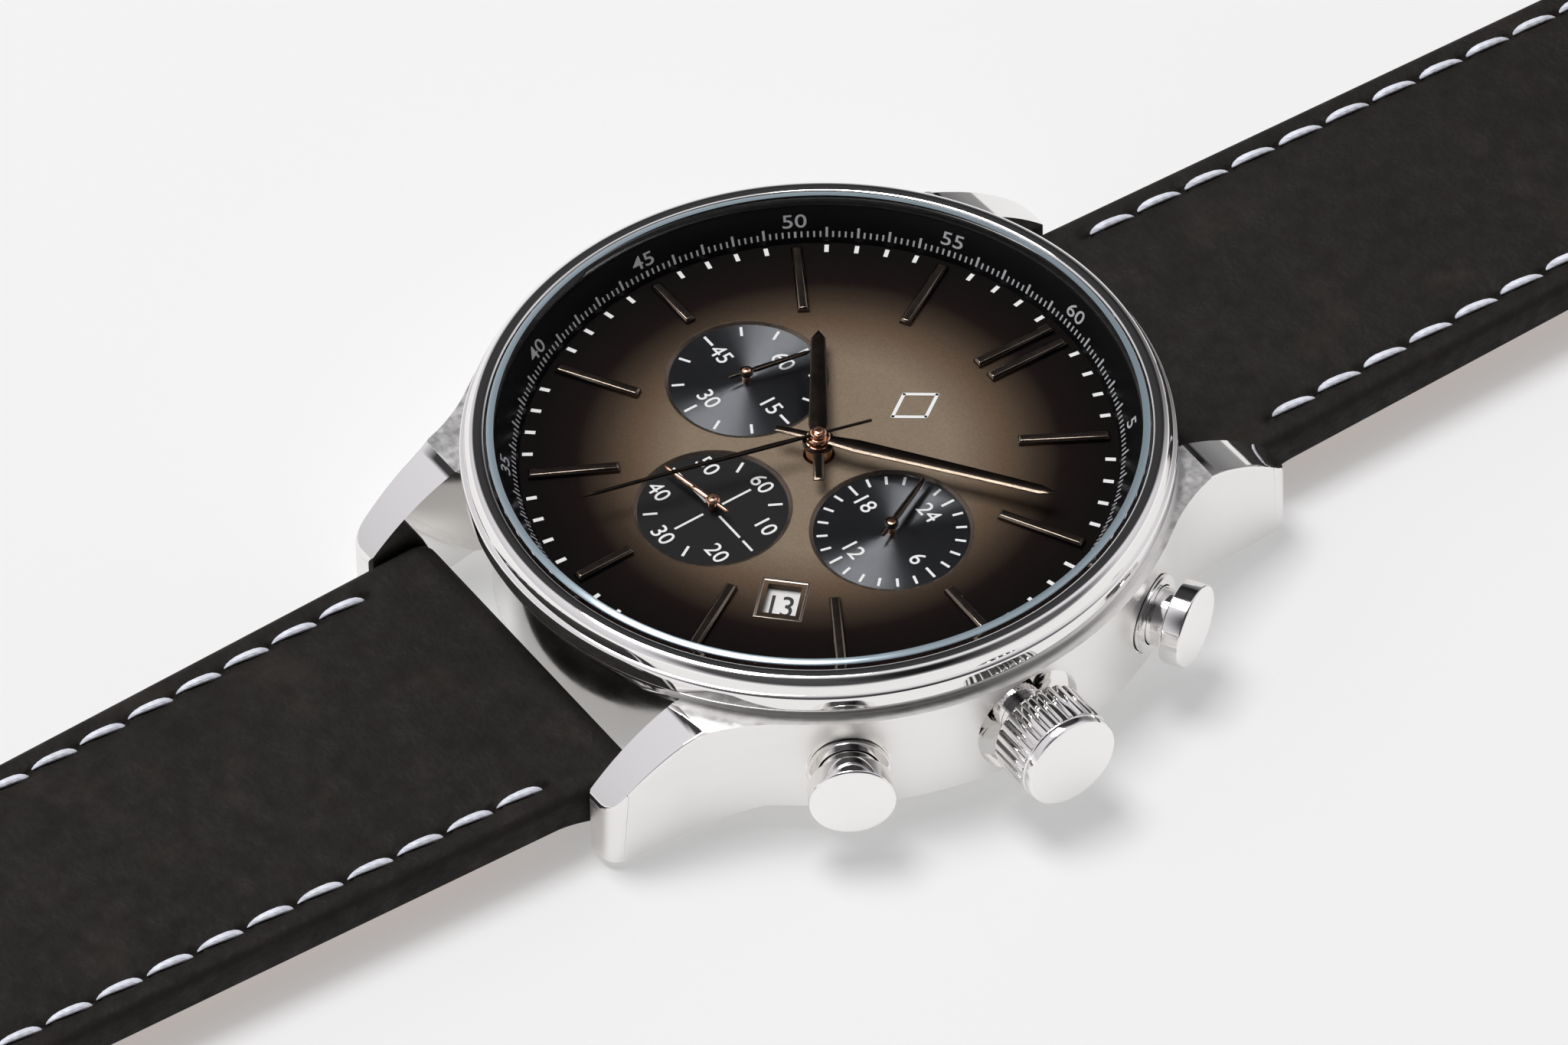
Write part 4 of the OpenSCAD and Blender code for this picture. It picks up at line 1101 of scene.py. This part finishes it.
def strap_section(half, low_z, top_z, d, stitches, columns, fold=0.0):
    """One closed section of the outer leather, as (across, height): round sides, padded middle, grooves.

    Stitches are given as (pitch, first, last, length)."""
    middle = (low_z + top_z) / 2
    side_r = min(0.62, max((top_z - low_z) / 2 - 0.005, 0.001), half * 0.5)
    foot_r = min(0.22, max((top_z - low_z) / 2 - 0.005, 0.001), half * 0.3)
    line = half - STITCH_INSET
    pitch, first, last, length = stitches

    def top_height(x):
        edge = max(0.0, 1.0 - (abs(x) / max(line - 0.45, 0.1)) ** 6) if line > 0.5 else 0.0
        fade = min(1.0, max(0.0, (d - 1.5) / 6.0))
        pad = PAD_H * edge * fade * min(1.0, (top_z - low_z) / 2.0)
        groove = 0.0
        if first - 1.0 < d < last + pitch:
            groove = GROOVE_DEPTH * math.exp(-((abs(x) - line) / GROOVE_W) ** 2)
            offset = (d - first) % pitch
            for end in (0.0, length, pitch):
                skew = 0.10 if x > 0 else -0.10
                hole_x = line + (skew if end in (0.0, pitch) else -skew)
                away = (abs(x) - hole_x) ** 2 + (offset - end) ** 2
                groove += NEEDLE_DEPTH * math.exp(-away / NEEDLE_SPREAD)
        return pad - groove

    lip, foot_z = min(FOLD_W, half * 0.5), low_z - fold
    side_x, side_z = half - side_r, top_z - side_r
    points = arc(-half + foot_r, foot_z + foot_r, foot_r, 180, 270, 4)
    points += [(-half + lip - 0.05, foot_z), (-half + lip, low_z), (0, low_z), (half - lip, low_z),
               (half - lip + 0.05, foot_z)]
    points += arc(half - foot_r, foot_z + foot_r, foot_r, 270, 360, 4)
    points.append((half + 0.03, middle))
    points += arc(side_x, side_z, side_r, 0, 90, 6)[:-1]
    points += [(share * side_x, top_z + top_height(share * side_x)) for share in columns]
    points += arc(-side_x, side_z, side_r, 90, 180, 6)[1:]
    points.append((-half - 0.03, middle))
    return points


def across_columns():
    """Places across the top, as shares of the half width from +1 to -1, closer together at the stitches."""
    near = (STRAP_HALF - STITCH_INSET) / STRAP_HALF
    shares = [1.0, 0.985, 0.97]
    shares += [near + 0.085 - 0.17 * i / 12 for i in range(13)]
    shares += [0.62, 0.45, 0.28, 0.1]
    return shares + [-s for s in reversed(shares)]


def strap_rows(length, pitch):
    """Places along the strap: a round turn over the spring bar, then even rows to the far end."""
    rows = [-LOOP_R * math.cos(math.radians(90 * i / 8)) for i in range(8)]
    step = pitch / 13
    rows += [step * i for i in range(int(length / step) + 1)] + [length]
    return sorted(set(round(row, 5) for row in rows))


def eased(share):
    """A share from 0 to 1 that starts and ends gently."""
    share = min(1.0, max(0.0, share))
    return share * share * (3 - 2 * share)


def strap_levels(d):
    """Lower and upper face at a distance along, with the thicker loop round the spring bar."""
    if d < 0:
        rise = math.sqrt(max(LOOP_R ** 2 - d * d, 1e-6))
        return -rise, rise
    return -LOOP_R + (STRAP_LOW + LINING_T + LOOP_R) * eased(d / LOOP_BLEND), STRAP_TOP


def leather_body(length, stitches, end_round, narrowing=None):
    """The outer leather of one half along +Y from its spring bar: a grid wrapped into a closed skin."""
    columns = across_columns()
    rows = strap_rows(length, stitches[0])
    sample = strap_section(10, 0, 2, 20, stitches, columns)
    bm = bmesh.new()
    bmesh.ops.create_grid(bm, x_segments=len(sample), y_segments=len(rows) - 1, size=1.0)
    bm.verts.ensure_lookup_table()
    across = len(sample) + 1
    for j, d in enumerate(rows):
        low_z, top_z = strap_levels(d)
        half = half_width(d)
        if narrowing:
            half *= narrowing(d, length)
        if d > length - end_round:
            squeeze = math.sqrt(max(1 - ((d - length + end_round) / end_round) ** 2, 0.0004))
            mid = (low_z + top_z) / 2
            low_z, top_z = mid + (low_z - mid) * squeeze, mid + (top_z - mid) * squeeze
        fold = (LINING_T - 0.12) * eased(d / LOOP_BLEND) * min(1.0, max(0.0, (length - d) / 2.0))
        section = strap_section(half, low_z, top_z, d, stitches, columns, fold)
        for i in range(across):
            x, z = section[i % len(section)]
            bm.verts[j * across + i].co = (x, d, z)
    bmesh.ops.remove_doubles(bm, verts=bm.verts, dist=1e-4)
    bmesh.ops.holes_fill(bm, edges=[e for e in bm.edges if e.is_boundary], sides=0)
    bmesh.ops.recalc_face_normals(bm, faces=bm.faces)
    return bm


def cut_away(bm, tool):
    """Takes a tool's shape out of a piece, and returns what is left."""
    holders = []
    for name, shape in (("blank", bm), ("tool", tool)):
        mesh = bpy.data.meshes.new(name)
        shape.to_mesh(mesh)
        shape.free()
        holders.append(placed(name, mesh))
    blank, cutter = holders
    modifier = blank.modifiers.new("cut", "BOOLEAN")
    modifier.object = cutter
    modifier.solver = "EXACT"
    modifier.operation = "DIFFERENCE"
    graph = bpy.context.evaluated_depsgraph_get()
    result = bpy.data.meshes.new_from_object(blank.evaluated_get(graph))
    left = bmesh.new()
    left.from_mesh(result)
    meshes = [blank.data, cutter.data, result]
    for holder in holders:
        bpy.data.objects.remove(holder)
    for mesh in meshes:
        bpy.data.meshes.remove(mesh)
    return left


def punches():
    """Round punches for the holes of the holed half."""
    tool = bmesh.new()
    for d in HOLES:
        made = bmesh.ops.create_cone(tool, cap_ends=True, segments=28, radius1=HOLE_R, radius2=HOLE_R,
                                     depth=12)
        bmesh.ops.translate(tool, vec=(0, d, 0), verts=made["verts"])
    return tool


def slot_cutter():
    """A round-cornered bar for the tongue's slot in the buckle end."""
    tool = bmesh.new()
    add_box(tool, SLOT_SIZE, (0, STRAP_12_L, 0))
    return soften(tool, 0.6, 60, 5, upright)


def strap_place(side):
    """Carries a strap half from its own place onto its spring bar."""
    place = Matrix.Translation((0, side * BAR_Y, BAR_Z))
    return place @ Matrix.Rotation(math.pi, 4, "Z") if side < 0 else place


def stitch_rows(stitches, side):
    """Two rows of stitches as bent, tapered threads that dive into the leather at both ends."""
    pitch, first, last, length = stitches
    lean = Matrix.Rotation(math.radians(-5.5), 4, "Z")
    bm = bmesh.new()
    for k in range(int((last - first) / pitch) + 1):
        d = first + k * pitch
        mid = d + length / 2
        for s in (-1, 1):
            verts = bmesh.ops.create_uvsphere(bm, u_segments=10, v_segments=10, radius=1.0)["verts"]
            wobble = 0.04 * noise.noise(Vector((d * 1.7, s * 3.1, side * 5.3)))
            x = s * (half_width(mid) - STITCH_INSET) + wobble
            for v in verts:
                x0, y0, z0 = v.co.x, v.co.z, v.co.y
                taper = 1.0 - 0.22 * y0
                y_flat = math.copysign(abs(y0) ** 0.82, y0)
                local = lean @ Vector((x0 * 0.25 * taper, y_flat * length / 2, z0 * 0.20 * taper))
                dive = 0.34 * abs(y_flat) ** 3.2
                v.co = (x + local.x, mid + local.y, STRAP_TOP + 0.10 + local.z - dive)
    bmesh.ops.recalc_face_normals(bm, faces=bm.faces)
    return bm


def lining_body(length, end, narrowing=None):
    """The tan lining under one half: a thin slab with soft edges."""
    start, rows = LOOP_R + 0.1, 60
    bm = bmesh.new()
    bmesh.ops.create_grid(bm, x_segments=8, y_segments=rows, size=1.0)
    bm.verts.ensure_lookup_table()
    for j in range(rows + 1):
        d = start + (end - start) * j / rows
        half = half_width(d) * (narrowing(d, length) if narrowing else 1.0)
        half = max(half - FOLD_W - 0.04, half * 0.5)
        for i in range(9):
            bm.verts[j * 9 + i].co = (half * (i / 4 - 1), d, STRAP_LOW)
    made = bmesh.ops.extrude_face_region(bm, geom=list(bm.faces))["geom"]
    moved = [v for v in made if isinstance(v, bmesh.types.BMVert)]
    bmesh.ops.translate(bm, vec=(0, 0, LINING_T), verts=moved)
    bmesh.ops.recalc_face_normals(bm, faces=bm.faces)
    soften(bm, 0.12, 40, 3)
    return bm


class WATCH_OT_strap(bpy.types.Operator):
    """Both halves of the strap: outer leather, lining and stitches"""
    bl_idname = "watch.strap"
    bl_label = "Strap"

    def half(self, name, body, side, leather, lining, stitches, cutter):
        """One half's three pieces, with the same holes cut through leather and lining."""
        pieces = ((cut_away(leather, cutter()), "leather", "leather", "leather"),
                  (cut_away(lining, cutter()), "lining", "lining", "lining"),
                  (stitches, "stitches", "thread", "stitching"))
        for bm, part, finish, node in pieces:
            bmesh.ops.transform(bm, matrix=strap_place(side), verts=bm.verts)
            new_piece(bm, f"{name}_{part}", finish, [f"{body}_{node}"], body)

    def execute(self, context):
        settings = context.scene.watch_strap
        stitches = (settings.stitch_pitch, STITCH_START, STRAP_12_L - 18.0, settings.stitch_length)
        self.half("buckle_half", "strap_12", 1,
                  leather_body(STRAP_12_L + 1.2, stitches, 1.2),
                  lining_body(STRAP_12_L, STRAP_12_L - 1.3),
                  stitch_rows(stitches, 1), slot_cutter)
        stitches = (settings.stitch_pitch, STITCH_START, STRAP_6_L - 16.0, settings.stitch_length)
        self.half("holed_half", "strap_6", -1,
                  leather_body(STRAP_6_L, stitches, 0.8, tip_narrowing),
                  lining_body(STRAP_6_L, STRAP_6_L - 0.5, tip_narrowing),
                  stitch_rows(stitches, -1), punches)
        return {"FINISHED"}


class WATCH_OT_keepers(bpy.types.Operator):
    """The fixed and the free strap keeper"""
    bl_idname = "watch.keepers"
    bl_label = "Keepers"

    def execute(self, context):
        for node in ("fixed_keeper", "free_keeper"):
            bm = cad_copy(node)
            soften(bm, 1.0, 60, 6, lambda e: abs(e.verts[0].co.y - e.verts[1].co.y) > 3
                   and abs(e.verts[0].co.x) > high(node, 0) - 0.1)
            soften(bm, 0.22, 40, 3)
            new_piece(bm, node + "_loop", "leather", [node], BODY_OF[node], weighted=True)
        return {"FINISHED"}


class WATCH_OT_buckle(bpy.types.Operator):
    """Buckle frame, its pin and its tongue"""
    bl_idname = "watch.buckle"
    bl_label = "Buckle"

    def execute(self, context):
        bm = cad_copy("buckle")
        soften(bm, 0.7, 60, 5, upright)
        soften(bm, 0.35, 40, 4)
        new_piece(bm, "buckle_frame", "polished_steel", ["buckle"], "buckle", weighted=True)
        refine("buckle_pin", "polished_steel", 0.2)
        bm = soften(cad_copy("buckle_tongue"), 0.2, 40, 3)
        new_piece(bm, "buckle_tongue_bar", "polished_steel", ["buckle_tongue"], "tongue", weighted=True)
        return {"FINISHED"}


# ---- Stage ----


class WATCH_OT_stage(bpy.types.Operator):
    """Pale floor, soft light and the camera"""
    bl_idname = "watch.stage"
    bl_label = "Stage"

    AIM = Vector((0.122, -2.572, 5.0))
    DISTANCE = 1049.3
    # Azimuth, elevation, inner and outer radius in degrees, and the share of light that is left
    DARK_PLACES = ((146.6, 45.8, 20, 31, 0.06), (-33.4, 44.0, 30, 46, 0.10), (126.0, 16.0, 14, 34, 0.28),
                   (22.0, 38.0, 24, 40, 0.16))

    def soft_light(self, name, place, size, power):
        data = bpy.data.lights.new(name, "AREA")
        data.shape = "SQUARE"
        data.size = size
        data.energy = power
        lamp = placed(name, data)
        lamp.location = place
        lamp.rotation_euler = (Vector((0, 0, 0.008)) - Vector(place)).to_track_quat("-Z", "Y").to_euler()

    def paper(self):
        """Pale paper with a little light through it, which keeps the shadows soft."""
        made = Maker("PaleFloor", (0.50, 0.50, 0.50), 0.7)
        made.link(made.spread(made.noise(300, 3), 0.65, 0.75), "Roughness")
        made.set("Specular IOR Level", 0.1)
        made.set("Emission Color", (1.0, 0.998, 0.992, 1.0)).set("Emission Strength", 0.37)
        return made.material

    def unit(self, azimuth, elevation):
        """The direction at an azimuth and an elevation in degrees."""
        a, e = math.radians(azimuth), math.radians(elevation)
        return Vector((math.cos(a) * math.cos(e), math.sin(a) * math.cos(e), math.sin(e)))

    def studio(self):
        """White near the horizon and pale above, with dark places that the glass and near side reflect."""
        world = bpy.data.worlds.new("Studio")
        world.use_nodes = True
        nodes, links = world.node_tree.nodes, world.node_tree.links
        coords = nodes.new("ShaderNodeTexCoord")
        dot = nodes.new("ShaderNodeVectorMath")
        dot.operation = "DOT_PRODUCT"
        dot.inputs[1].default_value = (0, 0, 1)
        ramp = nodes.new("ShaderNodeValToRGB")
        stops = ((0.0, (1.0, 1.0, 1.0)), (0.10, (0.96, 0.96, 0.97)), (0.26, (0.62, 0.61, 0.63)),
                 (0.60, (0.71, 0.695, 0.74)), (1.0, (0.80, 0.79, 0.82)))
        while len(ramp.color_ramp.elements) < len(stops):
            ramp.color_ramp.elements.new(0.5)
        for element, (place, tone) in zip(ramp.color_ramp.elements, stops):
            element.position = (place + 1) / 2
            element.color = (*tone, 1.0)
        half = nodes.new("ShaderNodeMapRange")
        half.inputs["From Min"].default_value = -1.0
        links.new(coords.outputs["Generated"], dot.inputs[0])
        links.new(dot.outputs["Value"], half.inputs["Value"])
        links.new(half.outputs["Result"], ramp.inputs["Fac"])
        tone = ramp.outputs["Color"]
        for azimuth, elevation, inner, outer, share in self.DARK_PLACES:
            aside = nodes.new("ShaderNodeVectorMath")
            aside.operation = "DOT_PRODUCT"
            aside.inputs[1].default_value = self.unit(azimuth, elevation)
            span = nodes.new("ShaderNodeMapRange")
            span.inputs["From Min"].default_value = math.cos(math.radians(outer))
            span.inputs["From Max"].default_value = math.cos(math.radians(inner))
            span.inputs["To Min"].default_value = 1.0
            span.inputs["To Max"].default_value = share
            dim = nodes.new("ShaderNodeVectorMath")
            dim.operation = "SCALE"
            links.new(coords.outputs["Generated"], aside.inputs[0])
            links.new(aside.outputs["Value"], span.inputs["Value"])
            links.new(tone, dim.inputs[0])
            links.new(span.outputs["Result"], dim.inputs["Scale"])
            tone = dim.outputs["Vector"]
        links.new(tone, nodes["Background"].inputs["Color"])
        return world

    def execute(self, context):
        scene = context.scene
        settings = scene.watch_stage
        bm = bmesh.new()
        bmesh.ops.create_grid(bm, x_segments=4, y_segments=4, size=2.5)
        mesh = bpy.data.meshes.new("pale_floor")
        bm.to_mesh(mesh)
        bm.free()
        mesh.materials.append(self.paper())
        placed("pale_floor", mesh)
        scene.world = self.studio()
        self.soft_light("top_light", (-0.57, -0.21, 2.12), 0.95, 35.0)
        scene.view_settings.view_transform = "Standard"
        away = self.unit(settings.azimuth, settings.elevation)
        data = bpy.data.cameras.new("camera")
        data.sensor_width = 36.0
        data.lens = settings.lens
        data.clip_start, data.clip_end = 0.05, 20.0
        camera = placed("camera", data)
        camera.location = (self.AIM + away * self.DISTANCE) * MM
        level = (-away).to_track_quat("-Z", "Y").to_matrix()
        camera.rotation_euler = (level @ Matrix.Rotation(math.radians(settings.roll), 3, "Z")).to_euler()
        scene.camera = camera
        return {"FINISHED"}


class WATCH_PT_panel(bpy.types.Panel):
    """Lists the pieces of the watch"""
    bl_idname = "WATCH_PT_panel"
    bl_label = "Chronograph Wristwatch"
    bl_space_type = "VIEW_3D"
    bl_region_type = "UI"
    bl_category = "Watch"

    def draw(self, context):
        for group in ("watch_steel", "watch_dial", "watch_strap", "watch_stage"):
            settings = getattr(context.scene, group)
            box = self.layout.box()
            for key in settings.bl_rna.properties.keys():
                if key not in ("rna_type", "name"):
                    box.prop(settings, key)
        for operator in OPERATORS:
            self.layout.operator(operator.bl_idname)


OPERATORS = (WATCH_OT_stage, WATCH_OT_case, WATCH_OT_bezel, WATCH_OT_flange, WATCH_OT_dial, WATCH_OT_markers,
             WATCH_OT_hands, WATCH_OT_crown, WATCH_OT_pushers, WATCH_OT_movement, WATCH_OT_strap,
             WATCH_OT_keepers, WATCH_OT_buckle)
SETTINGS = {"watch_steel": WatchSteelSettings, "watch_dial": WatchDialSettings,
            "watch_strap": WatchStrapSettings, "watch_stage": WatchStageSettings}
CLASSES = (*SETTINGS.values(), *OPERATORS, WATCH_PT_panel)


def register():
    for cls in CLASSES:
        bpy.utils.register_class(cls)
    for name, group in SETTINGS.items():
        setattr(bpy.types.Scene, name, PointerProperty(type=group))


def unregister():
    for name in SETTINGS:
        delattr(bpy.types.Scene, name)
    for cls in reversed(CLASSES):
        bpy.utils.unregister_class(cls)


def main():
    register()
    for operator in OPERATORS:
        group, action = operator.bl_idname.split(".")
        getattr(getattr(bpy.ops, group), action)()


if __name__ == "__main__":
    main()
